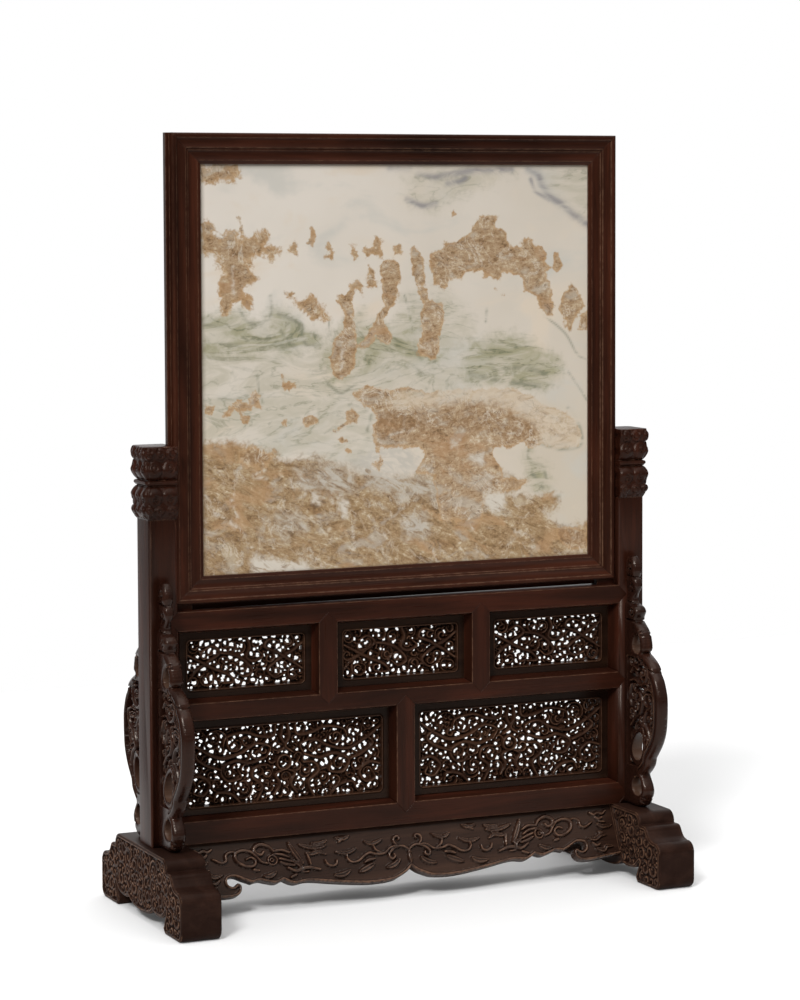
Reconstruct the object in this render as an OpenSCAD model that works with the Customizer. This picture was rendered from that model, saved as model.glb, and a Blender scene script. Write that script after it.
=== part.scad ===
// Table screen: a framed stone slab that lifts out of a carved hardwood stand.
// Millimetres. The origin is on the ground under the middle, +Z is up and the front faces -Y.

/* [Screen] */
// Width of the framed slab across the faces of its stiles
frame_w = 455.6; // [400:0.1:520]
// Height of the framed slab
frame_h = 430; // [360:1:500]
// Thickness of the frame, front to back
frame_t = 20.6; // [19:0.1:26]
// Face width of a frame member, out to its lip round the slab
frame_face = 28.5; // [26:0.5:36]
// Face width of the frame member under the slab
bottom_face = 25; // [22:0.5:36]
// Width of the round outer band of a frame member
band_w = 4.5; // [3:0.1:7]
// Width of the flat fillet between the two hollows of a frame member
fillet_w = 2.2; // [1:0.1:4]
// Width of the lip that slopes down to the slab
lip_w = 3.5; // [2:0.1:5]
// Height of each step in the frame moulding
step_d = 1.1; // [0.5:0.1:1.6]
// How far the tongue stands out of the edge of a stile
tongue_w = 3.8; // [2.5:0.1:6]
// Thickness of the tongue
tongue_t = 6; // [4:0.1:9]
// Thickness of the stone slab
stone_t = 6; // [4:0.1:7]
// Thickness of the board behind the slab
board_t = 4.6; // [3:0.1:5]
// Depth of the groove that holds slab and board
frame_groove = 8; // [5:0.5:12]

/* [Posts] */
// Width of a post, seen from the front
post_w = 27.2; // [24:0.1:36]
// Depth of a post and of the rails, front to back
post_d = 32.5; // [28:0.1:40]
// Height of a post above its foot
post_h = 366.5; // [330:0.5:420]
// Height of the carved capital at the top of a post
cap_h = 66.5; // [50:0.5:80]
// How far the capital stands out beyond the post
cap_over = 6; // [3:0.1:9]
// Height of the bead between the two tiers of the capital
cap_bead = 5; // [3:0.1:8]
// Radius on the long edges of a post
post_r = 1.8; // [0.5:0.1:3]

/* [Lattice] */
// Height of the top rail
top_rail_h = 17.7; // [14:0.1:26]
// Height of the middle rail
middle_rail_h = 15.6; // [14:0.1:26]
// Height of the bottom rail
bottom_rail_h = 20.7; // [16:0.1:30]
// Width of the short uprights
muntin_w = 18.5; // [14:0.1:24]
// Height of the upper row of openings
upper_open_h = 67.4; // [55:0.1:90]
// Height of the lower row of openings
lower_open_h = 93.3; // [75:0.1:120]
// Width of the sloping reveal on rails and uprights
reveal_w = 3.1; // [2:0.1:5]
// Width of the sloping reveal on the posts
post_reveal_w = 5.4; // [3:0.1:8]
// Height of the blocks that carry the framed slab
rest_h = 5.9; // [4:0.1:12]
// Length of the blocks that carry the framed slab
rest_l = 18; // [10:0.5:30]

/* [Openwork panels] */
// Thickness of a panel
panel_t = 9; // [7:0.1:12]
// Width of the plain border round the openwork
panel_border = 8; // [6:0.1:12]
// Width of the raised bead round the openwork
bead_w = 1.8; // [1:0.1:3]
// Height of the raised bead
bead_h = 0.7; // [0.3:0.1:1.5]
// Corner radius of the openwork field
field_r = 5; // [2:0.5:10]
// Thickness of the edge that sits in the grooves
edge_t = 5; // [3:0.1:6]
// Depth of the grooves for the panel edges
edge_d = 4.5; // [2.5:0.1:6]
// Wood left between neighbouring openings
web = 1.3; // [0.8:0.1:2]
// Width of a scroll-shaped opening
scroll_w = 2.4; // [1.5:0.1:3]
// Scrolls side by side in a small panel
upper_columns = 5; // [3:1:6]
// Scrolls one above the other in a small panel
upper_rows = 2; // [1:1:3]
// Scrolls side by side in a large panel
lower_columns = 8; // [5:1:9]
// Scrolls one above the other in a large panel
lower_rows = 3; // [2:1:4]

/* [Brackets] */
// Height of a bracket above its foot
bracket_h = 245; // [210:1:280]
// How far a bracket reaches out from the post
bracket_reach = 65.5; // [55:0.5:75]
// Thickness of a bracket
bracket_t = 13.5; // [10:0.5:18]
// Depth to which the openwork lies below the rim
bracket_sink = 1.8; // [0.5:0.1:3]

/* [Feet] */
// Length of a foot, front to back
foot_l = 216; // [205:1:260]
// Width of a foot
foot_w = 39.2; // [35:0.1:50]
// Height of a foot
foot_h = 67.9; // [60:0.1:80]
// Length of the flat under each toe
toe_flat = 35; // [30:0.5:40]
// Length of the toe in front of the top tier
toe_l = 38.5; // [32:0.5:44]
// Radius of the shoulder of the toe
toe_r = 10; // [5:0.5:12]
// Height of the top tier
crown_h = 11.2; // [9:0.1:14]
// Height of the hollow and bead between the toe and the top tier
cyma_h = 12.3; // [10:0.1:15]
// Height of the arch under the middle of the foot
arch_h = 7; // [4.5:0.1:8]

/* [Aprons] */
// Thickness of an apron
apron_t = 8; // [6:0.5:11]
// Lean of an apron away from the upright
apron_lean = 25.8; // [15:0.1:30]
// Gap between the backs of the two aprons at their top edges
apron_gap = 0.8; // [0.4:0.1:6]
// Length of an apron down its slope to the lowest lobe
apron_drop = 54.3; // [48:0.1:56]
// Height of the raised edge along the shaped side of an apron
apron_edge_h = 1.2; // [0.5:0.1:2]
// Width of the raised edge along the shaped side of an apron
apron_edge_w = 2.4; // [1.5:0.1:3]

/* [Fits] */
// Clearance on each side of the sliding tongues
slide_gap = 0.3; // [0.2:0.05:0.6]
// Clearance round tenons and panel edges
joint_gap = 0.1; // [0.05:0.05:0.3]
// Thickness of the tenons of rails and posts
tenon_t = 10; // [6:0.5:12]
// Length of the tenons of rails
tenon_l = 17; // [13:0.5:20]
// Length of the tenons of posts
post_tenon_l = 42; // [20:1:44]
// Depth of the tenons of posts, front to back
post_tenon_d = 20; // [12:0.5:24]
// Shoulder left beside a tenon
shoulder = 3; // [2:0.1:4]
// Length of the tenons of aprons
apron_tenon_l = 6; // [3:0.5:8]

/* [Hidden] */
$fn = 48;

// Colours of the woods and the stone
wood = [0.24, 0.14, 0.12];
inner_wood = [0.30, 0.19, 0.14];
marble = [0.86, 0.82, 0.74];

// Overlap of cutting shapes past the faces that they cut
past = 1;
// Far enough to pass any face of the object
far = 600;

// Places of the posts
post_in = frame_w / 2 + slide_gap;
post_x = post_in + post_w / 2;
post_top = foot_h + post_h;
half_d = post_d / 2;

// Heights of the lattice, counted up from the feet
bottom_lo = foot_h;
bottom_hi = bottom_lo + bottom_rail_h;
middle_lo = bottom_hi + lower_open_h;
middle_hi = middle_lo + middle_rail_h;
top_lo = middle_hi + upper_open_h;
top_hi = top_lo + top_rail_h;
frame_z = top_hi + rest_h;

// Places of the short uprights: the upper row is cut in three, the lower row in two
upper_open_w = (2 * post_in - 2 * muntin_w) / 3;
upper_muntin_x = (upper_open_w + muntin_w) / 2;
muntin_core = muntin_w / 2 + reveal_w;

// Seat of the panels in depth
seat_y = panel_t / 2;

// Depths of the frame moulding below its front plane
hollow_w = (frame_face - band_w - fillet_w - lip_w) / 2;
lip_d = 3 * step_d;
lip_t = 1.4;
slot_front = lip_d + lip_t;
slot_back = slot_front + stone_t + board_t + 2 * joint_gap;

// Points along a round arc
function arc(c, r, a0, a1, n = 6) =
    [for (i = [0:n]) let (a = a0 + (a1 - a0) * i / n) c + r * [cos(a), sin(a)]];

// Points along a hollow between two points, sunk by the depth given
function hollow(p, q, sink, n = 6) =
    [for (i = [0:n]) let (t = i / n) p + (q - p) * t + [0, 4 * sink * t * (1 - t)]];

// One point of a smooth curve through four neighbours
function blend(a, b, c, d, t) =
    0.5 * (2 * b + (c - a) * t + (2 * a - 5 * b + 4 * c - d) * t * t
        + (3 * b - a - 3 * c + d) * t * t * t);

// Smooth curve through hand-placed points, open at both ends
function curve(p, n = 4) =
    let (e = len(p) - 1)
    concat([for (i = [0:e - 1], k = [0:n - 1])
        blend(p[max(i - 1, 0)], p[i], p[i + 1], p[min(i + 2, e)], k / n)], [p[e]]);

// Points in the opposite order, on the other side of the middle
function flipped(p) = [for (i = [len(p) - 1:-1:0]) [-p[i][0], p[i][1]]];

// Points scaled by a factor for each direction
function sized(p, s) = [for (q = p) [q[0] * s[0], q[1] * s[1]]];

// Rectangle with round corners
function round_box(w, h, r) = concat(
    arc([w / 2 - r, -h / 2 + r], r, -90, 0),
    arc([w / 2 - r, h / 2 - r], r, 0, 90),
    arc([-w / 2 + r, h / 2 - r], r, 90, 180),
    arc([-w / 2 + r, -h / 2 + r], r, 180, 270));

// Scroll-shaped opening that winds in from radius r to radius r_end and tapers at its ends
function scroll(r, r_end, w, turns, start, hand, n = 14) =
    let (
        path = [for (i = [0:n])
            let (t = i / n)
            [r + (r_end - r) * t, start + hand * 360 * turns * t, w * (0.3 + 0.7 * sin(180 * t))]]
    )
    concat(
        [for (q = path) (q[0] + q[2] / 2) * [cos(q[1]), sin(q[1])]],
        [for (i = [n:-1:0]) (path[i][0] - path[i][2] / 2) * [cos(path[i][1]), sin(path[i][1])]]);

// Four-pointed opening between round scrolls, from angle a0 to angle a1
function star(rx, ry, a0 = 0, a1 = 359, n = 16) =
    [for (i = [0:n]) let (a = a0 + (a1 - a0) * i / n) [rx * pow(cos(a), 3), ry * pow(sin(a), 3)]];

// Extrudes an outline drawn in x and z, with its middle at the depth y
module upright(depth, y = 0) {
    translate([0, y + depth / 2, 0])
        rotate([90, 0, 0])
            linear_extrude(depth)
                children();
}

// Extrudes an outline drawn in y and z, with its middle at x
module across(length, x = 0) {
    translate([x - length / 2, 0, 0])
        rotate([90, 0, 90])
            linear_extrude(length)
                children();
}

// Block between two corners
module block(low, high) {
    translate(low)
        cube(high - low);
}

// Frame of the slab

// Moulded section of a frame member: y is the depth and z runs from the outer edge inwards
module frame_section(face) {
    s1 = band_w + hollow_w;
    s2 = s1 + fillet_w;
    s3 = s2 + hollow_w;
    front = concat(
        [for (p = arc([band_w / 2, band_w / 2], band_w / 2, 180, 270)) p],
        [[band_w, 0]],
        hollow([band_w, step_d], [s1, step_d / 2], step_d),
        [[s1, 3 / 2 * step_d], [s2, 3 / 2 * step_d]],
        hollow([s2, 2 * step_d], [s3, 3 / 2 * step_d], step_d),
        [[frame_face, lip_d], [frame_face, slot_front]],
        [[frame_face - frame_groove, slot_front], [frame_face - frame_groove, slot_back]],
        [[frame_face, slot_back], [frame_face, frame_t], [0, frame_t]]);
    polygon([for (p = front) [p[1] - frame_t / 2, p[0] * face / frame_face]]);
}

// Mitred frame member with its outer edge at z = 0 and its middle at x = 0
module frame_member(length, face, left_cut, right_cut) {
    intersection() {
        across(length)
            frame_section(face);
        upright(frame_t + 2 * past)
            polygon([[-length / 2, 0], [length / 2, 0],
                [length / 2 - right_cut, face], [-length / 2 + left_cut, face]]);
    }
}

// Upright member on the right, with the tongue that slides in the post
module frame_stile() {
    translate([frame_w / 2, 0, frame_z + frame_h / 2])
        rotate([0, -90, 0]) {
            frame_member(frame_h, frame_face, bottom_face, frame_face);
            block([-frame_h / 2, -tongue_t / 2, -tongue_w], [frame_h / 2, tongue_t / 2, 0]);
        }
}

module frame_bottom_rail() {
    color(wood)
        translate([0, 0, frame_z])
            frame_member(frame_w, bottom_face, frame_face, frame_face);
}

module frame_top_rail() {
    color(wood)
        translate([0, 0, frame_z + frame_h])
            rotate([0, 180, 0])
                frame_member(frame_w, frame_face, frame_face, frame_face);
}

module frame_right_stile() {
    color(wood)
        frame_stile();
}

module frame_left_stile() {
    color(wood)
        mirror([1, 0, 0])
            frame_stile();
}

// Sheet held in the groove of the frame, with its front at the depth given
module held_sheet(front, thick) {
    out = frame_face - frame_groove + joint_gap;
    low = (frame_face - frame_groove) * bottom_face / frame_face + joint_gap;
    y = front - frame_t / 2;
    block([-frame_w / 2 + out, y, frame_z + low],
        [frame_w / 2 - out, y + thick, frame_z + frame_h - out]);
}

module stone_slab() {
    color(marble)
        held_sheet(slot_front, stone_t);
}

module back_board() {
    color(inner_wood)
        held_sheet(slot_front + stone_t + joint_gap, board_t);
}

// Rails and short uprights of the lattice

// Face of a rail with a mitred point at each end; the reveals slope out to the panel seats
module rail_face(lo, hi, lo_reveal, hi_reveal) {
    half = (hi - lo) / 2;
    end = [
        [post_in - post_reveal_w, lo - lo_reveal],
        [post_in, lo],
        [post_in + half, lo + half],
        [post_in, hi],
        [post_in - post_reveal_w, hi + hi_reveal]];
    polygon(concat(end, flipped(end)));
}

// Section of a rail across its length
module rail_section(lo, hi, lo_reveal, hi_reveal) {
    polygon([[-half_d, lo], [-seat_y, lo - lo_reveal], [seat_y, lo - lo_reveal], [half_d, lo],
        [half_d, hi], [seat_y, hi + hi_reveal], [-seat_y, hi + hi_reveal], [-half_d, hi]]);
}

// Tenons of a rail at both ends, or the mortises when a gap is given
module rail_tenons(lo, hi, gap = 0) {
    reach = post_in + tenon_l + gap;
    block([-reach, -tenon_t / 2 - gap, lo + shoulder - gap],
        [reach, tenon_t / 2 + gap, hi - shoulder + gap]);
}

// Groove for the panel edges along a rail
module rail_groove(lo, hi) {
    out = post_in - post_reveal_w + edge_d;
    block([-out, -edge_t / 2 - joint_gap, lo], [out, edge_t / 2 + joint_gap, hi]);
}

module rail(lo, hi, lo_reveal, hi_reveal) {
    intersection() {
        across(2 * far)
            rail_section(lo, hi, lo_reveal, hi_reveal);
        upright(post_d + 2 * past)
            rail_face(lo, hi, lo_reveal, hi_reveal);
    }
    rail_tenons(lo, hi);
}

// Face of a short upright with a mitred point at each end
module muntin_face(lo, hi, x) {
    half = muntin_w / 2;
    point = [[0, lo - half], [muntin_core, lo - half + muntin_core],
        [muntin_core, hi + half - muntin_core], [0, hi + half]];
    translate([x, 0])
        polygon(concat(point, [[-muntin_core, hi + half - muntin_core],
            [-muntin_core, lo - half + muntin_core]]));
}

// Tenons of a short upright, or the mortises when a gap is given
module muntin_tenons(lo, hi, x, gap = 0) {
    wide = muntin_w / 2 - shoulder;
    long = muntin_w / 2 - shoulder / 3;
    block([x - wide - gap, -tenon_t / 2 - gap, lo - long - gap],
        [x + wide + gap, tenon_t / 2 + gap, hi + long + gap]);
}

module muntin(lo, hi, x) {
    difference() {
        union() {
            intersection() {
                translate([x, 0, lo - muntin_w])
                    linear_extrude(hi - lo + 2 * muntin_w)
                        polygon([[-muntin_w / 2, -half_d], [muntin_w / 2, -half_d],
                            [muntin_core, -seat_y], [muntin_core, seat_y],
                            [muntin_w / 2, half_d], [-muntin_w / 2, half_d],
                            [-muntin_core, seat_y], [-muntin_core, -seat_y]]);
                upright(post_d + 2 * past)
                    muntin_face(lo, hi, x);
            }
            muntin_tenons(lo, hi, x);
        }
        for (side = [-1, 1])
            translate([x + side * muntin_core, 0, 0])
                block([-edge_d, -edge_t / 2 - joint_gap, lo - muntin_w],
                    [edge_d, edge_t / 2 + joint_gap, hi + muntin_w]);
    }
}

// Notches that the upper and lower uprights leave in the rails
module upper_notches() {
    for (x = [-upper_muntin_x, upper_muntin_x]) {
        upright(post_d + 4 * past)
            muntin_face(middle_hi, top_lo, x);
        muntin_tenons(middle_hi, top_lo, x, joint_gap);
    }
}

module lower_notches() {
    upright(post_d + 4 * past)
        muntin_face(bottom_hi, middle_lo, 0);
    muntin_tenons(bottom_hi, middle_lo, 0, joint_gap);
}

module top_rail() {
    color(wood)
        difference() {
            rail(top_lo, top_hi, reveal_w, 0);
            upper_notches();
            rail_groove(top_lo - reveal_w - past, top_lo - reveal_w + edge_d);
        }
}

module middle_rail() {
    color(wood)
        difference() {
            rail(middle_lo, middle_hi, reveal_w, reveal_w);
            upper_notches();
            lower_notches();
            rail_groove(middle_lo - reveal_w - past, middle_lo - reveal_w + edge_d);
            rail_groove(middle_hi + reveal_w - edge_d, middle_hi + reveal_w + past);
        }
}

module bottom_rail() {
    color(wood)
        difference() {
            rail(bottom_lo, bottom_hi, 0, reveal_w);
            lower_notches();
            rail_groove(bottom_hi + reveal_w - edge_d, bottom_hi + reveal_w + past);
        }
}

module upper_left_muntin() {
    color(wood)
        muntin(middle_hi, top_lo, -upper_muntin_x);
}

module upper_right_muntin() {
    color(wood)
        muntin(middle_hi, top_lo, upper_muntin_x);
}

module lower_muntin() {
    color(wood)
        muntin(bottom_hi, middle_lo, 0);
}

// Blocks on the top rail that carry the framed slab
module rest_block() {
    block([post_in - rest_l, -tongue_t, top_hi], [post_in, tongue_t, frame_z]);
}

module right_rest_block() {
    color(wood)
        rest_block();
}

module left_rest_block() {
    color(wood)
        mirror([1, 0, 0])
            rest_block();
}

// Posts with capitals

// Swell of the capital beyond the post at a share of the height of a tier
function swell(t) =
    cap_over * (0.12 + 0.88 * (1 - pow(2 * t - 1, 6))) * (0.8 + 0.2 * pow(sin(360 * t), 2));

// Side of the capital from its foot to its top: two lobed tiers with a bead between them
function cap_side() =
    let (
        tier = (cap_h - cap_bead) / 2,
        steps = 12,
        lobes = [for (i = [0:steps]) [swell(i / steps), tier * i / steps]]
    )
    concat(
        [[0, 0]],
        lobes,
        arc([cap_over / 3, tier + cap_bead / 2], cap_bead / 2, -90, 90),
        [for (p = lobes) p + [0, tier + cap_bead]],
        [[0, cap_h]]);

module capital() {
    translate([0, 0, post_top - cap_h])
        intersection() {
            upright(post_d + 4 * cap_over)
                polygon(concat([[post_in, 0]], [for (p = cap_side()) p + [post_in + post_w, 0]],
                    [[post_in, cap_h]]));
            across(post_w + 4 * cap_over, post_x) {
                side = [for (p = cap_side()) p + [half_d, 0]];
                polygon(concat(side, flipped(side)));
            }
        }
}

// Sloping reveal on the inner face of the post, where the panels sit
module post_reveal() {
    translate([0, 0, bottom_lo])
        linear_extrude(top_hi - bottom_lo)
            polygon([[post_in + past, -half_d], [post_in, -half_d],
                [post_in - post_reveal_w, -seat_y], [post_in - post_reveal_w, seat_y],
                [post_in, half_d], [post_in + past, half_d]]);
}

// Tenon under the post, or its mortise when a gap is given
module post_tenon(gap = 0) {
    wide = post_w / 2 - 2 * shoulder;
    block([post_x - wide - gap, -post_tenon_d / 2 - gap, foot_h - post_tenon_l - gap],
        [post_x + wide + gap, post_tenon_d / 2 + gap, foot_h + gap]);
}

// Faces of the three rails, as far as they enter the post
module rail_ends() {
    upright(post_d + 4 * past) {
        rail_face(bottom_lo, bottom_hi, 0, reveal_w);
        rail_face(middle_lo, middle_hi, reveal_w, reveal_w);
        rail_face(top_lo, top_hi, reveal_w, 0);
    }
    rail_tenons(bottom_lo, bottom_hi, joint_gap);
    rail_tenons(middle_lo, middle_hi, joint_gap);
    rail_tenons(top_lo, top_hi, joint_gap);
}

module post() {
    slot_t = tongue_t / 2 + slide_gap;
    difference() {
        union() {
            translate([post_x, 0, foot_h])
                linear_extrude(post_h)
                    polygon(round_box(post_w, post_d, post_r));
            capital();
            post_reveal();
        }
        rail_ends();
        // groove for the tongue of the frame, open at the top
        block([post_in - past, -slot_t, frame_z - slide_gap],
            [post_in + tongue_w, slot_t, post_top + past]);
        // groove for the edges of the panels
        block([post_in - post_reveal_w - past, -edge_t / 2 - joint_gap, bottom_lo],
            [post_in - post_reveal_w + edge_d, edge_t / 2 + joint_gap, top_lo]);
        for (side = [-1, 1])
            scale([1, side, 1])
                bracket_tongue(joint_gap);
    }
    post_tenon();
}

module right_post() {
    color(wood)
        post();
}

module left_post() {
    color(wood)
        mirror([1, 0, 0])
            post();
}

// Openwork panels

// Openings of a field of scrolls with alternating hands and stars in between
module scroll_field(w, h, columns, rows) {
    cell = [w / columns, h / rows];
    r = min(cell[0], cell[1]) / 2 - web - scroll_w / 2;
    point = 0.36;
    for (i = [0:columns - 1], k = [0:rows - 1]) {
        hand = (i + k) % 2 == 0 ? 1 : -1;
        translate([(i + 0.5) * cell[0] - w / 2, (k + 0.5) * cell[1] - h / 2])
            polygon(scroll(r, r / 5, scroll_w, 1.15, hand > 0 ? 200 : -20, hand));
    }
    for (i = [1:columns - 1], k = [1:1:rows - 1])
        translate([i * cell[0] - w / 2, k * cell[1] - h / 2])
            polygon(star(point * cell[0], point * cell[1]));
    for (i = [1:columns - 1], side = [-1, 1])
        translate([i * cell[0] - w / 2, side * (h / 2 - web)])
            polygon(star(point * cell[0], -side * point * cell[1], 0, 180, 8));
    for (k = [1:1:rows - 1], side = [-1, 1])
        translate([side * (w / 2 - web), k * cell[1] - h / 2])
            polygon(star(-side * point * cell[0], point * cell[1], -90, 90, 8));
}

// Panel for the opening with the corners given, measured at the panel seats
module openwork_panel(low, high, columns, rows) {
    size = high - low - 2 * [joint_gap, joint_gap];
    field = size - 2 * [panel_border, panel_border];
    edge = edge_d - joint_gap;
    translate([(low[0] + high[0]) / 2, 0, (low[1] + high[1]) / 2]) {
        difference() {
            union() {
                upright(panel_t)
                    square(size, center = true);
                upright(edge_t)
                    square(size + 2 * [edge, edge], center = true);
            }
            upright(panel_t + 2 * past)
                scroll_field(field[0], field[1], columns, rows);
        }
        for (side = [-1, 1])
            upright(bead_h, side * (panel_t + bead_h) / 2)
                difference() {
                    polygon(round_box(field[0] + 2 * bead_w, field[1] + 2 * bead_w, field_r));
                    polygon(round_box(field[0], field[1], field_r - bead_w));
                }
    }
}

// Small panel at a place from -1 on the left to 1 on the right
module upper_panel(place) {
    middle = upper_open_w / 2 - reveal_w;
    inner = upper_muntin_x + muntin_core;
    outer = post_in - post_reveal_w;
    x0 = place == 0 ? -middle : place < 0 ? -outer : inner;
    x1 = place == 0 ? middle : place < 0 ? -inner : outer;
    openwork_panel([x0, middle_hi + reveal_w], [x1, top_lo - reveal_w],
        upper_columns, upper_rows);
}

// Large panel at a place, -1 on the left or 1 on the right
module lower_panel(place) {
    outer = post_in - post_reveal_w;
    x0 = place < 0 ? -outer : muntin_core;
    x1 = place < 0 ? -muntin_core : outer;
    openwork_panel([x0, bottom_hi + reveal_w], [x1, middle_lo - reveal_w],
        lower_columns, lower_rows);
}

module upper_left_panel() {
    color(inner_wood)
        upper_panel(-1);
}

module upper_middle_panel() {
    color(inner_wood)
        upper_panel(0);
}

module upper_right_panel() {
    color(inner_wood)
        upper_panel(1);
}

module lower_left_panel() {
    color(inner_wood)
        lower_panel(-1);
}

module lower_right_panel() {
    color(inner_wood)
        lower_panel(1);
}

// Brackets

// Lobes of the bracket's free edge, as shares of its reach and height, from the foot upwards
bracket_foot_lobe = [[0.38, 0], [0.50, 0.018], [0.585, 0.06], [0.57, 0.09], [0.465, 0.131]];
bracket_belly = [[0.465, 0.131], [0.63, 0.176], [0.78, 0.222], [0.925, 0.267], [0.985, 0.31],
    [1, 0.38], [0.985, 0.447], [0.95, 0.484], [0.885, 0.522], [0.785, 0.556], [0.60, 0.60],
    [0.48, 0.617]];
bracket_shoulder_lobe = [[0.48, 0.617], [0.53, 0.632], [0.51, 0.667], [0.45, 0.703],
    [0.29, 0.737]];
bracket_bead_lobe = [[0.29, 0.737], [0.285, 0.75], [0.335, 0.775], [0.28, 0.796], [0.18, 0.806]];
bracket_finger = [[0.18, 0.806], [0.155, 0.826], [0.255, 0.868], [0.24, 0.897], [0.20, 0.911]];
bracket_tip = [[0.20, 0.911], [0.225, 0.935], [0.20, 0.968], [0.12, 0.994], [0, 0.99]];

// Middle and half sizes of the oval field of the bracket
oval_middle = [0.475 * bracket_reach, 0.38 * bracket_h];
oval_half = [0.37 * bracket_reach, 0.205 * bracket_h];

module bracket_outline() {
    size = [bracket_reach, bracket_h];
    polygon(sized(concat([[0, 0]], curve(bracket_foot_lobe), curve(bracket_belly),
        curve(bracket_shoulder_lobe), curve(bracket_bead_lobe), curve(bracket_finger),
        curve(bracket_tip)), size));
}

// Oval field of the bracket
module bracket_oval() {
    translate(oval_middle)
        polygon([for (a = [0:15:345]) [oval_half[0] * cos(a), oval_half[1] * sin(a)]]);
}

// Openings through the bracket: scrolls in the oval, drops in the lobes
module bracket_openings() {
    big = oval_half[0] - web - scroll_w;
    small = 0.72 * big;
    rise = big + small + scroll_w + 2 * web;
    for (k = [-1, 0, 1])
        translate(oval_middle + [0, k * rise])
            polygon(scroll(k == 0 ? big : small, big / 5, 1.5 * scroll_w, 1.15,
                k == 0 ? 120 : -60, k == 0 ? 1 : -1));
    for (place = [[0.30, 0.064], [0.27, 0.672]])
        translate([place[0] * bracket_reach, place[1] * bracket_h])
            polygon(scroll(0.1 * bracket_reach, web, 1.5 * scroll_w, 0.8, 60, 1));
}

// Tongue along the bracket in the face of the post, or its groove when a gap is given
module bracket_tongue(gap = 0) {
    wide = bracket_t / 5;
    deep = 3;
    block([post_x - wide - gap, half_d - deep - gap, foot_h + 0.1 * bracket_h - gap],
        [post_x + wide + gap, half_d + gap, foot_h + 0.9 * bracket_h + gap]);
}

// Bracket behind the right post
module bracket() {
    translate([0, half_d, foot_h])
        difference() {
            across(bracket_t, post_x)
                bracket_outline();
            across(bracket_t + 2 * past, post_x)
                bracket_openings();
            for (side = [-1, 1])
                across(2 * bracket_sink, post_x + side * bracket_t / 2)
                    bracket_oval();
        }
    bracket_tongue();
}

module back_right_bracket() {
    color(wood)
        bracket();
}

module front_right_bracket() {
    color(wood)
        mirror([0, 1, 0])
            bracket();
}

module back_left_bracket() {
    color(wood)
        mirror([1, 0, 0])
            bracket();
}

module front_left_bracket() {
    color(wood)
        rotate([0, 0, 180])
            bracket();
}

// Feet

// Radius at the outer end of the sole
sole_r = 9;
// Height of the toe up to its round shoulder
toe_h = foot_h - crown_h - cyma_h;

// Upper side of the foot from the toe to the middle: shoulder, hollow, bead and round top tier
function foot_top() =
    let (
        toe = foot_l / 2,
        tier = toe - toe_l,
        ledge = foot_h - crown_h,
        bead_r = cyma_h / 2,
        crown_r = 0.9 * crown_h,
        bead = arc([tier + bead_r + 1.5, ledge - bead_r], bead_r, 20, 90),
        hollow_from = [toe - toe_r - 3, toe_h]
    )
    concat(
        arc([toe - sole_r, sole_r], sole_r, -90, 0),
        arc([toe - toe_r, toe_h - toe_r], toe_r, 0, 90),
        curve([hollow_from, hollow_from * 0.55 + bead[0] * 0.45 - [1.5, 1.5], bead[0]]),
        bead,
        [[tier, ledge]],
        arc([tier - crown_r, foot_h - crown_r], crown_r, 0, 90));

// Scalloped underside from the middle to the inner end of the toe
function foot_under() =
    let (
        toe_in = foot_l / 2 - sole_r - toe_flat,
        cusp = [toe_in / 2, arch_h + 7],
        notch = [toe_in + 4, arch_h + 14]
    )
    concat(
        curve([[0, arch_h], [0.46 * cusp[0], arch_h + 1], [0.8 * cusp[0], arch_h + 3.5], cusp]),
        curve([cusp, [1.27 * cusp[0], arch_h + 5], [1.53 * cusp[0], arch_h + 5],
            [1.85 * cusp[0], arch_h + 7], notch]),
        curve([notch, [toe_in - 1, 10], [toe_in - 3.5, 5], [toe_in, 0]]));

module foot_profile() {
    half = concat(foot_under(), foot_top());
    polygon(concat(half, flipped(half)));
}

module foot() {
    difference() {
        across(foot_w, post_x)
            foot_profile();
        post_tenon(joint_gap);
        for (side = [-1, 1])
            scale([1, side, 1])
                apron_tenons(joint_gap);
    }
}

module right_foot() {
    color(wood)
        foot();
}

module left_foot() {
    color(wood)
        mirror([1, 0, 0])
            foot();
}

// Aprons

// Half of the shaped lower edge: distance from the middle, and drop as a share of the lowest lobe
apron_centre_lobe = [[0, 0.78], [5, 0.86], [12, 0.925], [22, 0.985], [45, 1], [76, 0.935],
    [105, 0.855], [120, 0.875], [130.5, 0.79]];
apron_side_lobe = [[130.5, 0.79], [138, 0.835], [147, 0.80], [154, 0.765], [161.5, 0.79]];
apron_bay = [[161.5, 0.79], [170, 0.72], [178, 0.655], [185, 0.68], [185.5, 0.77],
    [181, 0.82], [176, 0.765]];
apron_hook = [[176, 0.765], [172.8, 0.80], [172.8, 0.89], [177, 0.975], [187, 1], [205, 0.975]];

// Half length at which the lower edge is drawn
apron_drawn_end = 222.1;
// Inner faces of the feet, between which the aprons fit
apron_end = post_x - foot_w / 2;

// Distance from the middle plane to the top edge of an apron's face
apron_y = apron_t / cos(apron_lean) + apron_gap / 2;

// Lower edge between the outer cusps, which carries the raised edge
function apron_lobes() = concat(curve(apron_centre_lobe), curve(apron_side_lobe));

// The outline follows the length between the feet
function on_length(p) = sized(p, [apron_end / apron_drawn_end, -apron_drop]);

function apron_edge() =
    on_length(concat(apron_lobes(), curve(apron_bay), curve(apron_hook),
        [[apron_drawn_end, 0.94]]));

// Places what is drawn on the face of the back apron: x along it and y up its slope
module on_apron() {
    translate([0, apron_y, foot_h])
        rotate([90 + apron_lean, 0, 0])
            children();
}

function apron_outline(top) =
    let (edge = apron_edge())
    concat(flipped(edge), edge, [[apron_end, top], [-apron_end, top]]);

// Strip along the lobes of the lower edge
function apron_strip() =
    let (
        half = on_length(apron_lobes()),
        low = concat(flipped(half), half)
    )
    concat(low, [for (i = [len(low) - 1:-1:0]) low[i] + [0, apron_edge_w]]);

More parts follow.
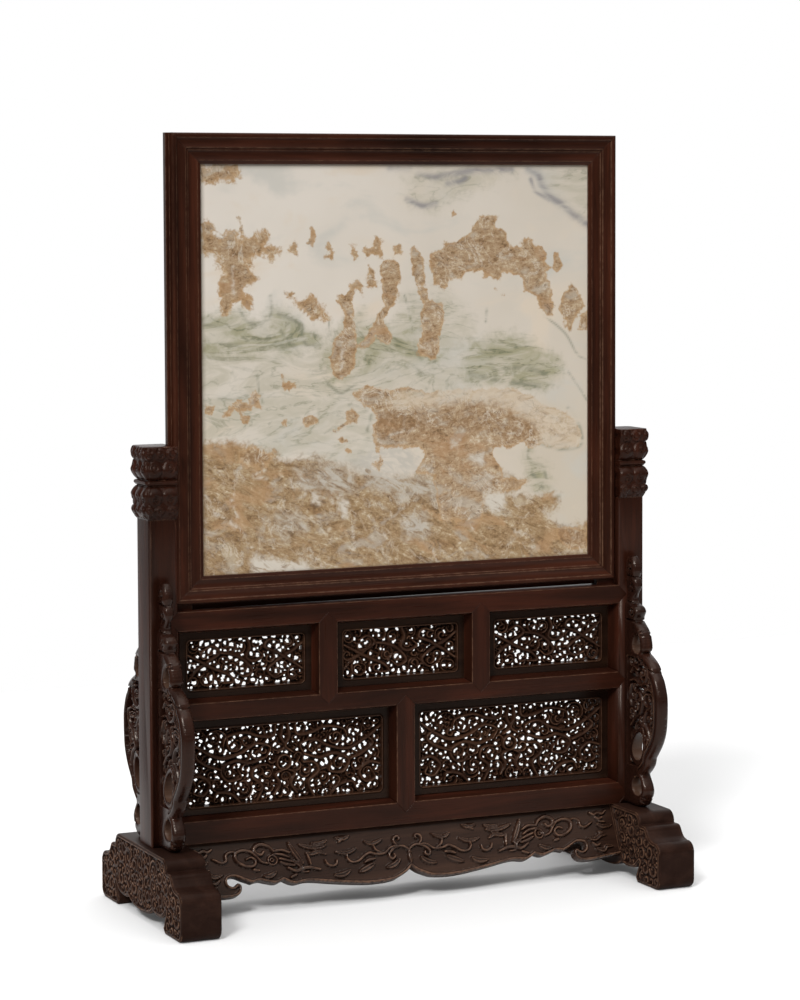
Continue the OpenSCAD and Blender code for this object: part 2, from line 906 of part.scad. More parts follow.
// Tenons at the ends of an apron, or their mortises when a gap is given
module apron_tenons(gap = 0) {
    shoulder = 10;
    on_apron()
        translate([0, -apron_drop / 2, apron_t / 3 - gap])
            linear_extrude(apron_t / 3 + 2 * gap)
                for (side = [-1, 1])
                    translate([side * apron_end, 0])
                        square([2 * (apron_tenon_l + gap), apron_drop - 2 * shoulder + 2 * gap],
                            center = true);
}

module apron() {
    above = 12;
    difference() {
        on_apron() {
            linear_extrude(apron_t)
                polygon(apron_outline(above));
            translate([0, 0, -apron_edge_h])
                linear_extrude(apron_edge_h + past)
                    polygon(apron_strip());
        }
        block([-far, -far, foot_h], [far, far, foot_h + far]);
    }
    apron_tenons();
}

module back_apron() {
    color(wood)
        apron();
}

module front_apron() {
    color(wood)
        mirror([0, 1, 0])
            apron();
}

frame_top_rail();
frame_bottom_rail();
frame_left_stile();
frame_right_stile();
stone_slab();
back_board();
left_post();
right_post();
top_rail();
middle_rail();
bottom_rail();
upper_left_muntin();
upper_right_muntin();
lower_muntin();
upper_left_panel();
upper_middle_panel();
upper_right_panel();
lower_left_panel();
lower_right_panel();
front_left_bracket();
back_left_bracket();
front_right_bracket();
back_right_bracket();
front_apron();
back_apron();
left_foot();
right_foot();
left_rest_block();
right_rest_block();
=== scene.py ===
"""Looks of the table screen: carved pieces, woods, figured stone, studio and camera."""
import math

import bmesh
import bpy
import numpy as np
from mathutils import Matrix, Vector


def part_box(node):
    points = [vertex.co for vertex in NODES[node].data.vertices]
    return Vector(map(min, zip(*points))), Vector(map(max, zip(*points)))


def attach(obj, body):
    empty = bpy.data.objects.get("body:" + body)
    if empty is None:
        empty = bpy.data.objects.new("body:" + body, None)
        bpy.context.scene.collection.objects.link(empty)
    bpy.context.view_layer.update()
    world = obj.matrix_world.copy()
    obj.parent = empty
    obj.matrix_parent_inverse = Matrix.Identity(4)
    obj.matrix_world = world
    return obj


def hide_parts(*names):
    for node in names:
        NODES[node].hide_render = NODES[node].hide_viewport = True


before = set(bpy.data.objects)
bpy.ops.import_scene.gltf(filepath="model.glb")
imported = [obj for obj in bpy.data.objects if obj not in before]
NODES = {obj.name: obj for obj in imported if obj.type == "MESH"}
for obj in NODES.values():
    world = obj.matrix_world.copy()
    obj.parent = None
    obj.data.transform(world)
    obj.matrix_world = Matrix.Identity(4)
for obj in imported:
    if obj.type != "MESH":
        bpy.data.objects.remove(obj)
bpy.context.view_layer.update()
MM = 0.001

# Camera at the photograph's place: image 800 x 1000, lengths in mm, angles in degrees
IMAGE_W, IMAGE_H = 800, 1000
FOCAL_PX = 3017.4
CENTRE_PX = (401.3, 400.0)
CAM_YAW, CAM_PITCH, CAM_ROLL = 24.56, 3.652, -0.207
CAM_PLACE = (-1176.6, -2583.0, 650.0)
SENSOR = 36

# Lamps: angle from the front, height and spread in degrees, and strength
LAMPS = [
    ("key_light", -45.0, 40.0, 14.0, 2.1),
    ("overhead_light", -10.0, 78.0, 60.0, 1.3),
    ("rear_light", 150.0, 40.0, 60.0, 0.8),
]
WHITE = (1, 1, 1, 1)
# Half size of the floor in metres, its squares along a side, its colour and its glow
FLOOR_HALF, FLOOR_SQUARES = 1.3, 12
FLOOR_TONE, FLOOR_GLOW = (0.80, 0.80, 0.80, 1), 0.05
# Height of the fine bump in metres
BUMP = 0.0004

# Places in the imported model, in mm
POST_X, POST_IN, POST_W, POST_HALF_D, POST_R = 241.7, 228.1, 27.2, 16.25, 1.8
FOOT_H, FOOT_HALF_L, FOOT_HALF_W = 67.9, 108, 19.6
APRON_LEAN, APRON_Y, APRON_END, APRON_DROP = math.radians(25.8), 9.29, 222.1, 54.3
STONE_LEFT, STONE_LOW, STONE_TOP = -199.3, 313.5, 690.0
FRAME_LOW = 288.5


def show(name, data):
    """New object in the scene."""
    obj = bpy.data.objects.new(name, data)
    bpy.context.scene.collection.objects.link(obj)
    return obj


def make_camera():
    yaw, pitch, roll = (math.radians(a) for a in (CAM_YAW, CAM_PITCH, CAM_ROLL))
    level = math.cos(pitch)
    ahead = Vector((math.sin(yaw) * level, math.cos(yaw) * level, -math.sin(pitch)))
    right = Vector((math.cos(yaw), -math.sin(yaw), 0))
    up = right.cross(ahead)
    right, up = (
        math.cos(roll) * right + math.sin(roll) * up,
        math.cos(roll) * up - math.sin(roll) * right,
    )
    data = bpy.data.cameras.new("camera")
    data.sensor_width = SENSOR
    data.lens = FOCAL_PX * SENSOR / IMAGE_H
    data.shift_x = (IMAGE_W / 2 - CENTRE_PX[0]) / IMAGE_H
    data.shift_y = (CENTRE_PX[1] - IMAGE_H / 2) / IMAGE_H
    data.clip_start, data.clip_end = 0.1, 100
    camera = show("camera", data)
    turn = Matrix((right, up, -ahead)).transposed().to_4x4()
    camera.matrix_world = Matrix.Translation(Vector(CAM_PLACE) * MM) @ turn
    bpy.context.scene.camera = camera


class Graph:
    """Short hand for building a node tree."""

    def __init__(self, tree):
        self.tree = tree
        tree.nodes.clear()

    def node(self, kind, settings=None, **inputs):
        """New node. Inputs are named with _ for a space, or by number, such as _0."""
        n = self.tree.nodes.new(kind)
        for key, value in (settings or {}).items():
            setattr(n, key, value)
        for key, value in inputs.items():
            self.put(n, int(key[1:]) if key[0] == "_" else key.replace("_", " "), value)
        return n

    def put(self, n, name, value):
        if isinstance(value, bpy.types.NodeSocket):
            self.tree.links.new(value, n.inputs[name])
        else:
            n.inputs[name].default_value = value

    def math(self, kind, *values):
        n = self.node("ShaderNodeMath", {"operation": kind})
        for i, value in enumerate(values):
            self.put(n, i, value)
        return n.outputs[0]

    def times(self, a, b, plus=None):
        """Product of two values, with a third added if it is given."""
        if plus is None:
            return self.math("MULTIPLY", a, b)
        return self.math("MULTIPLY_ADD", a, b, plus)

    def span(self, value, a, b, c=0.0, d=1.0):
        """Smooth step from c to d as the value goes from a to b."""
        n = self.node("ShaderNodeMapRange", {"interpolation_type": "SMOOTHSTEP"})
        for i, v in enumerate((value, a, b, c, d)):
            self.put(n, i, v)
        return n.outputs[0]

    def ramp(self, value, stops):
        n = self.node("ShaderNodeValToRGB", None, Fac=value)
        elements = n.color_ramp.elements
        while len(elements) < len(stops):
            elements.new(0.5)
        for e, (at, colour) in zip(elements, stops):
            e.position, e.color = at, colour
        return n.outputs[0]

    def mix(self, fac, a, b):
        return self.node("ShaderNodeMix", {"data_type": "RGBA"}, _0=fac, _6=a, _7=b).outputs[2]

    def noise(self, vector, scale, detail=2.0, rough=0.5, distort=0.0):
        n = self.node("ShaderNodeTexNoise", None, Vector=vector, Scale=scale, Detail=detail,
                      Roughness=rough, Distortion=distort)
        return n.outputs["Fac"]

    def place(self):
        return self.node("ShaderNodeTexCoord").outputs["Object"]

    def mapped(self, vector, **inputs):
        return self.node("ShaderNodeMapping", None, Vector=vector, **inputs).outputs[0]

    def split(self, vector):
        return self.node("ShaderNodeSeparateXYZ", None, Vector=vector).outputs

    def field(self, key):
        """Values kept at the points of the mesh."""
        return self.node("ShaderNodeAttribute", {"attribute_name": key}).outputs["Fac"]

    def surface(self, colour, rough, height, strength, shape=None, **more):
        """Surface with a fine bump on its shape."""
        bump = self.node("ShaderNodeBump", None, Strength=strength, Distance=BUMP, Height=height)
        if shape is not None:
            self.put(bump, "Normal", shape)
        shader = self.node("ShaderNodeBsdfPrincipled", None, Base_Color=colour, Roughness=rough,
                           Normal=bump.outputs[0], **more)
        self.node("ShaderNodeOutputMaterial", None, Surface=shader.outputs[0])


def srgb(*rgb):
    """Linear colour of an sRGB value from 0 to 255."""
    parts = (v / 255 for v in rgb)
    return (*(v / 12.92 if v <= 0.04045 else ((v + 0.055) / 1.055) ** 2.4 for v in parts), 1)


def material(name):
    m = bpy.data.materials.new(name)
    m.use_nodes = True
    return m, Graph(m.node_tree)


# Darkest tone of the grain, and the colour of painted shade in hollows and on panel borders
WOOD_DARK, WOOD_PAINTED_SHADE = srgb(24, 10, 6), srgb(11, 5, 3)
# Bare wood with painted light in bracket openings, and the colour of wear with painted highlights
WOOD_RAW_AND_LIT, WOOD_WEAR_AND_HIGHLIGHT = srgb(74, 54, 43), srgb(122, 90, 70)
WOOD_SHEEN = (1, 0.88, 0.78, 1)
# Middle and light tone of the wood of the stand, of the frame, and of carved wood
PLAIN_STAND = (srgb(43, 20, 12), srgb(64, 30, 19))
PLAIN_FRAME = (srgb(48, 23, 14), srgb(72, 36, 23))
CARVED_FOOT = (srgb(35, 21, 16), srgb(50, 32, 25))
CARVED_BRACKET = (srgb(37, 19, 13), srgb(54, 29, 20))
CARVED_APRON = (srgb(42, 26, 19), srgb(60, 40, 30))
CARVED_PANEL = (srgb(46, 28, 19), srgb(68, 45, 31))
# Scale of pores and of streaks, across the grain and along it
PORE_SCALE, STREAK_SCALE = (900.0, 26.0), (38.0, 3.2)
# Radius of plain edges in metres
EDGE_ROUND = 0.0014


def wood(name, grain, tones, carved=False, facing=None, gloss=0.12, dull=0.15, tops=(0.52, 0.61)):
    """Polished dark hardwood with its grain along one axis. Carved wood has painted shade, with
    some dust, in its hollows, and wear with painted highlights on its tops, only on the sides that
    face along an axis if one is given. Plain wood has wear with painted highlights along its
    rounded edges."""
    m, g = material(name)
    place = g.place()

    def drawn_out(across, along):
        scale = [across] * 3
        scale["xyz".index(grain)] = along
        return g.mapped(place, Scale=scale)

    pores = g.noise(drawn_out(*PORE_SCALE), 1.0, 3.0, 0.6)
    streaks = g.noise(drawn_out(*STREAK_SCALE), 1.6, 4.0, 0.6, 0.6)
    clouds = g.noise(place, 9.0, 3.0, 0.5)
    # Patchy strength of the wear and painted highlights
    rub_and_gleam = g.noise(place, 140.0, 3.0, 0.6)
    tone = g.times(streaks, 0.75, g.times(clouds, 0.35))
    colour = g.ramp(tone, [(0.30, WOOD_DARK), (0.55, tones[0]), (0.80, tones[1])])
    colour = g.mix(g.span(pores, 0.54, 0.70, 0.0, 0.45), colour, WOOD_DARK)
    geometry = g.node("ShaderNodeNewGeometry").outputs
    if carved:
        shape, turn = geometry["Normal"], geometry["Pointiness"]
        # Painted shade, with some dust, darkens the hollows
        colour = g.mix(g.span(turn, 0.49, 0.42, 0.0, 0.85), colour, WOOD_PAINTED_SHADE)
        # Wear and painted highlights lighten the tops
        wear_and_highlight = g.times(g.span(turn, *tops), g.span(rub_and_gleam, 0.35, 0.65, 0.2, 0.8))
        if facing:
            side = g.math("ABSOLUTE", g.split(geometry["True Normal"])[facing])
            wear_and_highlight = g.times(wear_and_highlight, g.span(side, 0.45, 0.7))
        # Paler bare wood with painted light, in the openings of the brackets
        colour = g.mix(g.field("raw_and_lit"), colour, WOOD_RAW_AND_LIT)
        # Painted shade where the shade attribute is set
        colour = g.mix(g.field("shade"), colour, WOOD_PAINTED_SHADE)
    else:
        shape = g.node("ShaderNodeBevel", {"samples": 4}, Radius=EDGE_ROUND).outputs[0]
        edge = g.node("ShaderNodeVectorMath", {"operation": "DOT_PRODUCT"},
                      _0=shape, _1=geometry["Normal"]).outputs["Value"]
        # Wear and painted highlights along the rounded edges
        wear_and_highlight = g.times(g.span(edge, 0.995, 0.90), g.span(rub_and_gleam, 0.35, 0.65, 0.2, 0.75))
        # Mitre lines lean both ways and get no wear or painted highlight
        sides = g.split(shape)
        lean = g.math("MINIMUM", *(g.math("ABSOLUTE", sides[axis]) for axis in "XZ"))
        wear_and_highlight = g.times(wear_and_highlight, g.span(lean, 0.08, 0.02))
    colour = g.mix(wear_and_highlight, colour, WOOD_WEAR_AND_HIGHLIGHT)
    shine = g.times(pores, 0.16, g.times(clouds, 0.14, dull))
    g.surface(colour, shine, pores, 0.12, shape,
              Specular_IOR_Level=gloss, Specular_Tint=WOOD_SHEEN)
    return m


# Places of the five tones in the tan and the brown parts of the stone
STONE_STOPS = (0.39, 0.455, 0.51, 0.56, 0.63)
# Width in mm of the painted shadow of the frame on the stone
FRAME_SHADOW_W = 5.5


def stone(name):
    """Figured marble: cream ground, green veils, purple veins, and ragged brown and tan parts."""
    m, g = material(name)
    place = g.place()

    def lay(under, *layers):
        for mask, rgb in layers:
            under = g.mix(mask, under, srgb(*rgb))
        return under

    def toned(value, *tones):
        return g.ramp(value, [(at, srgb(*rgb)) for at, rgb in zip(STONE_STOPS, tones)])

    def edged(key, soft, rough=1.0):
        return g.span(g.times(ragged, rough, g.field(key)), -soft, soft)

    def stretched(x, lean=0.0):
        return g.mapped(g.mapped(place, Rotation=(0, math.radians(lean), 0)), Scale=(x, 1, 1))

    def lines(value, count, wide):
        """Thin lines along the levels of a smooth noise."""
        turn = g.math("FRACT", g.times(value, count))
        return g.span(g.math("ABSOLUTE", g.math("ADD", turn, -0.5)), wide, 0.0)

    broad = g.noise(place, 11.0, 3.0, 0.5)
    ragged = g.math("ADD", g.times(g.noise(place, 95.0, 5.0, 0.58, 0.5), 17.0, -8.5),
                    g.times(g.noise(place, 330.0, 3.0, 0.60), 5.0, -2.5))
    drawn = g.noise(stretched(0.40), 46.0, 5.0, 0.58, 1.4)
    mottle = g.noise(place, 150.0, 8.0, 0.70, 0.8)
    speck = g.noise(stretched(0.7), 460.0, 4.0, 0.62, 0.6)
    patch = g.noise(stretched(0.6, -20), 40.0, 4.0, 0.58, 0.8)
    other = g.noise(stretched(0.6, 15), 55.0, 4.0, 0.60, 0.6)
    streaky = g.noise(stretched(0.36, -24), 120.0, 6.0, 0.64, 1.6)
    grain = g.noise(stretched(0.36, 8), 130.0, 6.0, 0.66, 1.4)
    cloud = g.noise(stretched(0.6), 17.0, 4.0, 0.55, 0.5)
    strata = lines(g.noise(stretched(0.30), 24.0, 6.0, 0.56, 1.2), 9.0, 0.20)
    strata = g.times(strata, g.span(mottle, 0.36, 0.56, 0.35, 1.0))
    crease = lines(g.noise(stretched(0.5, -25), 60.0, 6.0, 0.66, 1.5), 4.0, 0.08)
    crease = g.times(crease, g.span(other, 0.42, 0.58))
    seam = lines(g.noise(stretched(0.7, -55), 50.0, 6.0, 0.66, 1.2), 3.0, 0.09)
    seam = g.times(seam, g.span(patch, 0.44, 0.60))
    # Cream ground, a little paler towards the upper left, with clouds, veils and veins
    where = g.split(place)
    tone = g.times(where["X"], -1.1, g.math("ADD", where["Z"], -0.24))
    colour = g.ramp(g.times(broad, 0.5, tone), [
        (0.20, srgb(199, 187, 169)), (0.50, srgb(209, 199, 185)), (0.85, srgb(220, 211, 199)),
    ])
    veil = g.span(drawn, 0.38, 0.62)
    haze = g.times(edged("haze", 14.0, 1.6), g.times(veil, 0.6, 0.25))
    green = g.times(edged("green", 11.0, 1.3), g.times(veil, 0.6, 0.3))
    colour = lay(
        colour,
        (g.span(cloud, 0.50, 0.66, 0.0, 0.65), (194, 191, 182)),
        (g.span(cloud, 0.47, 0.32, 0.0, 0.65), (216, 200, 179)),
        (haze, (186, 178, 159)),
        (green, (150, 146, 114)),
        (g.times(strata, g.math("MAXIMUM", green, g.times(haze, 0.5))), (108, 111, 84)),
        (g.times(g.field("dark"), g.span(drawn, 0.40, 0.60, 0.05, 0.75)), (126, 126, 107)),
        (g.times(g.field("vein"), g.span(drawn, 0.34, 0.60, 0.15, 0.9)), (139, 135, 136)),
    )
    # Tan foot, with peach, olive, lilac and cream in it
    blend = g.times(streaky, 0.5, g.times(mottle, 0.2, g.times(speck, 0.3)))
    tan = lay(
        toned(blend, (108, 80, 51), (141, 113, 79), (157, 130, 96), (173, 149, 115),
              (200, 188, 167)),
        (g.span(other, 0.54, 0.68, 0.0, 0.55), (178, 169, 156)),
        (g.span(patch, 0.56, 0.70, 0.0, 0.5), (194, 181, 159)),
        (g.span(patch, 0.46, 0.34, 0.0, 0.55), (179, 142, 103)),
        (g.span(other, 0.44, 0.32, 0.0, 0.6), (146, 118, 80)),
        (g.times(crease, 0.7), (108, 87, 63)),
        (g.times(seam, 0.55), (206, 196, 180)),
    )
    colour = g.mix(edged("tan", 5.0, 1.5), colour, tan)
    mist = g.times(edged("mist", 8.0, 1.5), g.span(streaky, 0.38, 0.58, 0.15, 0.85))
    colour = lay(colour, (mist, (187, 180, 168)))
    # Brown parts with golden borders, thinner in the peach band
    body = g.times(ragged, 0.75, g.field("brown"))
    knit = g.times(grain, 0.4, g.times(mottle, 0.25, g.times(speck, 0.35)))
    peach = edged("peach", 6.0)
    brown = lay(
        toned(knit, (110, 82, 55), (151, 122, 90), (169, 142, 111), (184, 161, 131),
              (207, 194, 172)),
        (g.span(other, 0.52, 0.66, 0.0, 0.65), (182, 171, 155)),
        (g.span(patch, 0.46, 0.34, 0.0, 0.55), (172, 134, 96)),
        (g.times(edged("deep", 6.0), g.span(mottle, 0.58, 0.42, 0.0, 0.6)), (136, 104, 70)),
        (g.span(body, 3.4, 0.4, 0.0, 0.6), (184, 148, 104)),
        (g.times(peach, g.span(grain, 0.36, 0.56, 0.4, 0.95)), (201, 183, 158)),
        (g.times(crease, 0.8), (104, 82, 60)),
        (g.times(seam, 0.7), (208, 197, 180)),
    )
    thin = g.times(peach, g.span(other, 0.40, 0.60, -0.1, -0.6), 1.0)
    colour = g.mix(g.times(g.span(body, -1.1, 1.3), thin), colour, brown)
    # Pale pockets and streaks, and a painted shadow of the frame along the top and the left edge
    pocket = g.times(edged("pocket", 4.0), g.span(streaky, 0.36, 0.52, 0.3, 1.0))
    streak = g.times(g.field("streak"), g.span(mottle, 0.42, 0.60, 0.0, 0.8))
    # Distance from the frame's left and top edges, for the painted shadow
    rim = g.math("MINIMUM", g.math("SUBTRACT", where["X"], STONE_LEFT * MM),
                 g.math("SUBTRACT", STONE_TOP * MM, where["Z"]))
    colour = lay(
        colour,
        (g.math("MAXIMUM", pocket, streak), (203, 194, 180)),
        (g.span(rim, FRAME_SHADOW_W * MM, 0.0, 0.0, 0.55), (96, 78, 60)),
    )
    g.surface(colour, g.times(mottle, 0.12, 0.26), mottle, 0.05)
    return m


def make_studio():
    """White floor and backdrop, light that grows towards overhead, and soft lamps."""
    scene = bpy.context.scene
    scene.world = bpy.data.worlds.new("studio")
    scene.world.use_nodes = True
    g = Graph(scene.world.node_tree)
    path = g.node("ShaderNodeLightPath").outputs
    way = g.split(g.node("ShaderNodeTexCoord").outputs["Generated"])
    behind = g.times(path["Is Glossy Ray"], g.span(way["Y"], 0.84, 1.0))
    seen = g.math("MAXIMUM", path["Is Camera Ray"], behind)
    seen = g.math("MAXIMUM", seen, path["Is Transmission Ray"])
    ahead = g.span(way["Y"], 0.6, -0.2, 0.6, 1.0)
    strength = g.times(ahead, g.span(way["Z"], -0.05, 0.85, 0.12, 0.62))
    light, white = (g.node("ShaderNodeBackground", None, Color=WHITE, Strength=s).outputs[0]
                    for s in (strength, 1.0))
    both = g.node("ShaderNodeMixShader", None, Fac=seen, _1=light, _2=white)
    g.node("ShaderNodeOutputWorld", None, Surface=both.outputs[0])

    for name, azimuth, elevation, spread, power in LAMPS:
        data = bpy.data.lights.new(name, "SUN")
        data.energy = power
        data.angle = math.radians(spread)
        lamp = show(name, data)
        a, e = math.radians(azimuth), math.radians(elevation)
        back = Vector((math.sin(a) * math.cos(e), -math.cos(a) * math.cos(e), math.sin(e)))
        lamp.rotation_mode = "QUATERNION"
        lamp.rotation_quaternion = (-back).to_track_quat("-Z", "Y")
        lamp.location = back * 3

    mesh = bpy.data.meshes.new("floor")
    row = FLOOR_SQUARES + 1
    ticks = np.linspace(-FLOOR_HALF, FLOOR_HALF, row)
    starts = [k * row + i for k in range(FLOOR_SQUARES) for i in range(FLOOR_SQUARES)]
    mesh.from_pydata([(x, y, 0) for y in ticks for x in ticks], [],
                     [(k, k + 1, k + row + 1, k + row) for k in starts])
    floor = show("floor", mesh)
    m, g = material("floor_white")
    pale = g.node("ShaderNodeBsdfDiffuse", None, Color=FLOOR_TONE)
    camera_ray = g.node("ShaderNodeLightPath").outputs["Is Camera Ray"]
    glow = g.node("ShaderNodeEmission", None, Color=WHITE, Strength=g.times(camera_ray, FLOOR_GLOW))
    both = g.node("ShaderNodeAddShader", None, _0=pale.outputs[0], _1=glow.outputs[0])
    g.node("ShaderNodeOutputMaterial", None, Surface=both.outputs[0])
    mesh.materials.append(m)


def paint(obj, *materials):
    obj.data.materials.clear()
    for m in materials:
        obj.data.materials.append(m)


# Carving on a grid, in mm

PATH_STEP = 0.45
FAR = 99.0
SMOOTH_ANGLE = math.radians(50)


def spline(points, step=PATH_STEP, held=False):
    """Points along a smooth curve through given points. Further columns, such as a half width,
    follow along, and a held curve sets off more slowly at its ends."""
    p = np.asarray(points, float)
    ends = np.vstack([p[:1], p, p[-1:]] if held else [2 * p[0] - p[1], p, 2 * p[-1] - p[-2]])
    out = []
    for a, b, c, d in zip(ends, ends[1:], ends[2:], ends[3:]):
        n = max(2, int(np.hypot(*(c - b)[:2]) / step))
        t = np.arange(n)[:, None] / n
        out.append(0.5 * (2 * b + (c - a) * t + (2 * a - 5 * b + 4 * c - d) * t**2
                          + (3 * b - a - 3 * c + d) * t**3))
    return np.vstack(out + [p[-1:]])


def line(points, wide, tip=None):
    """Stroke through points that swells to its half width and thins out to its tips."""
    path = spline([(*q, 1) for q in points])
    t = np.linspace(0, 1, len(path))
    tip = wide * 0.55 if tip is None else tip
    path[:, 2] = tip + (wide - tip) * np.sqrt(np.sin(np.pi * np.clip(t, 0.02, 0.98)))
    return path


def spiral(centre, r0, r1, start, turns, w0, w1):
    """Scroll that winds in round a centre; turns below 0 wind clockwise."""
    n = max(8, int(abs(turns) * 2 * np.pi * max(r0, r1) / PATH_STEP))
    t = np.linspace(0, 1, n)
    a = np.radians(start) + 2 * np.pi * turns * t
    r = r0 + (r1 - r0) * t
    path = [centre[0] + r * np.cos(a), centre[1] + r * np.sin(a), w0 + (w1 - w0) * t]
    return np.column_stack(path)


def arc(centre, r, a0, a1, n=10):
    a = np.radians(np.linspace(a0, a1, n))
    return np.column_stack([centre[0] + r * np.cos(a), centre[1] + r * np.sin(a)])


def mirrored(path):
    return np.asarray(path) * np.array([-1, 1, 1])[: np.asarray(path).shape[1]]


def rounded(d, r):
    """Drop of a round edge at a distance from the outline."""
    return r - np.sqrt(np.clip(r**2 - (r - np.clip(d, 0, r)) ** 2, 0, None))


def grid(low, high, step):
    """Columns and rows of a grid that is a little wider than the board on it."""
    return [np.arange(a - 2 * step, b + 2.5 * step, step) for a, b in zip(low, high)]


class Plate:
    """Board carved from both sides, on a grid: where there is wood, and how far it stands out."""

    def __init__(self, u, v):
        self.u, self.v = u, v
        self.U, self.V = np.meshgrid(u, v)
        self.solid = np.full(self.U.shape, -FAR)
        self.front = np.full(self.U.shape, -FAR)
        self.back = np.full(self.U.shape, FAR)

    def near(self, u, v, reach):
        """Part of the grid round a point, and the distances in it."""
        j0, j1 = np.searchsorted(self.u, (u - reach, u + reach))
        i0, i1 = np.searchsorted(self.v, (v - reach, v + reach))
        w = np.s_[i0:i1, j0:j1]
        return w, np.hypot(self.U[w] - u, self.V[w] - v)

    def distance(self, outline):
        """Distance from an outline, above zero inside it."""
        p = np.asarray(outline, float)
        best = np.full(self.U.shape, 1e9)
        inside = np.zeros(self.U.shape, bool)
        for (ax, ay), (bx, by) in zip(p, np.roll(p, -1, 0)):
            ex, ey = bx - ax, by - ay
            if ex == 0 and ey == 0:
                continue
            t = np.clip(((self.U - ax) * ex + (self.V - ay) * ey) / (ex * ex + ey * ey), 0, 1)
            best = np.minimum(best, (self.U - ax - t * ex) ** 2 + (self.V - ay - t * ey) ** 2)
            if ey != 0:
                across = (ay > self.V) != (by > self.V)
                inside ^= across & (self.U < ex * (self.V - ay) / ey + ax)
        return np.where(inside, np.sqrt(best), -np.sqrt(best))

    def stem(self, path, middle, rise, reach=7.0):
        """Round stem of wood, its middle at a depth and its two sides standing out from there."""
        for u, v, r in path:
            w, d = self.near(u, v, r + reach)
            np.maximum(self.solid[w], r - d, out=self.solid[w])
            k = rise * np.sqrt(np.clip(1 - (d / r) ** 2, 0, None))
            front, back = self.front[w], self.back[w]
            self.front[w] = np.where(d < r, np.maximum(front, middle + k), front)
            self.back[w] = np.where(d < r, np.minimum(back, middle - k), back)

    def ridge(self, field, path, rise):
        """Round ridge along a path in a field of heights."""
        for u, v, r in path:
            w, d = self.near(u, v, r)
            k = rise * np.sqrt(np.clip(1 - (d / r) ** 2, 0, None))
            field[w] = np.where(d < r, np.maximum(field[w], k), field[w])

    def groove(self, field, path, depth):
        """Round groove along a path, cut into a field of heights."""
        cut = np.zeros(self.U.shape)
        self.ridge(cut, path, depth)
        field -= cut

    def gaps(self, wood, mask, least, most=900, extra=0.0):
        """Middle and half width of the widest gap, time after time, until the gaps are narrow."""
        for _ in range(most):
            gap = np.where(mask, -(wood + extra), -FAR)
            i, j = divmod(int(gap.argmax()), gap.shape[1])
            if gap[i, j] < least:
                return
            yield self.u[j], self.v[i], gap[i, j]

    def hook(self, wood, gap, rng, wide, turns, lead, eye, swell=0.0, thin=0.8):
        """Scroll that starts at the wood nearest to a gap and winds into it. Given are ranges of
        its half width and turns, its start past the gap's edge, and its eye as a share of it."""
        u, v, deep = gap
        w, d = self.near(u, v, deep + 3)
        k = int(np.where(wood[w] > 0, d, 1e9).argmin())
        to = math.degrees(math.atan2(self.V[w].flat[k] - v, self.U[w].flat[k] - u))
        hand = rng.choice((-1, 1))
        half = rng.uniform(*wide)
        turn = hand * rng.uniform(*turns)
        return spiral((u, v), deep + lead, eye * deep, to, turn, half + swell, half * thin)

    def drift(self, rng, size):
        """Smooth random field from 0 to 1, with knots a size apart."""
        x, y = (self.U - self.u[0]) / size, (self.V - self.v[0]) / size
        i, j = y.astype(int), x.astype(int)
        knots = rng.random((i.max() + 2, j.max() + 2))
        a, b = x - j, y - i
        a, b = a * a * (3 - 2 * a), b * b * (3 - 2 * b)
        low = knots[i, j] * (1 - a) + knots[i, j + 1] * a
        return low * (1 - b) + (knots[i + 1, j] * (1 - a) + knots[i + 1, j + 1] * a) * b

    def lowest(self, field, r):
        """Least value of a field within a radius of each point."""
        step = self.u[1] - self.u[0]
        n = int(r / step)
        best = field.copy()
        for i in range(-n, n + 1):
            for j in range(-n, n + 1):
                if i * i + j * j <= (r / step) ** 2:
                    best = np.minimum(best, np.roll(field, (i, j), (0, 1)))
        return best

    def joined(self, start, wood):
        """Wood that hangs together with the start."""
        got = start & wood
        while True:
            grown = got.copy()
            grown[1:] |= got[:-1]
            grown[:-1] |= got[1:]
            grown[:, 1:] |= grown[:, :-1].copy()
            grown[:, :-1] |= grown[:, 1:].copy()
            grown &= wood
            if (grown == got).all():
                return got
            got = grown

    def parts(self, mask):
        """Rows and columns of each part of a mask that hangs together."""
        left = set(zip(*(k.tolist() for k in np.nonzero(mask))))
        for first in sorted(left):
            if first not in left:
                continue
            left.remove(first)
            todo, part = [first], []
            while todo:
                r, c = todo.pop()
                part.append((r, c))
                for q in ((r + 1, c), (r - 1, c), (r, c + 1), (r, c - 1)):
                    if q in left:
                        left.remove(q)
                        todo.append(q)
            yield tuple(np.array(part).T)

    def tie(self, cells, longest, rng):
        """Short bent stems across a long opening."""
        past, wave, half, n = 1.2, 0.8, 0.9, 8
        u, v = self.U[cells], self.V[cells]
        mu, mv = u.mean(), v.mean()
        du, dv = u - mu, v - mv
        a = 0.5 * math.atan2(2 * (du * dv).mean(), (du * du).mean() - (dv * dv).mean())
        sin, cos = math.sin(a), math.cos(a)
        along, across = du * cos + dv * sin, dv * cos - du * sin
        count = int(np.ptp(along) / longest)
        for k in range(count):
            t = along.min() + np.ptp(along) * (k + 1) / (count + 1)
            here = across[np.abs(along - t) < 0.8]
            if len(here):
                way = np.linspace(here.min() - past, here.max() + past, n)
                bend = t + wave * np.sin(way)
                path = [mu + bend * cos - way * sin, mv + bend * sin + way * cos, np.full(n, half)]
                self.stem(np.column_stack(path), rng.uniform(-1.2, 1.0), 1.9)

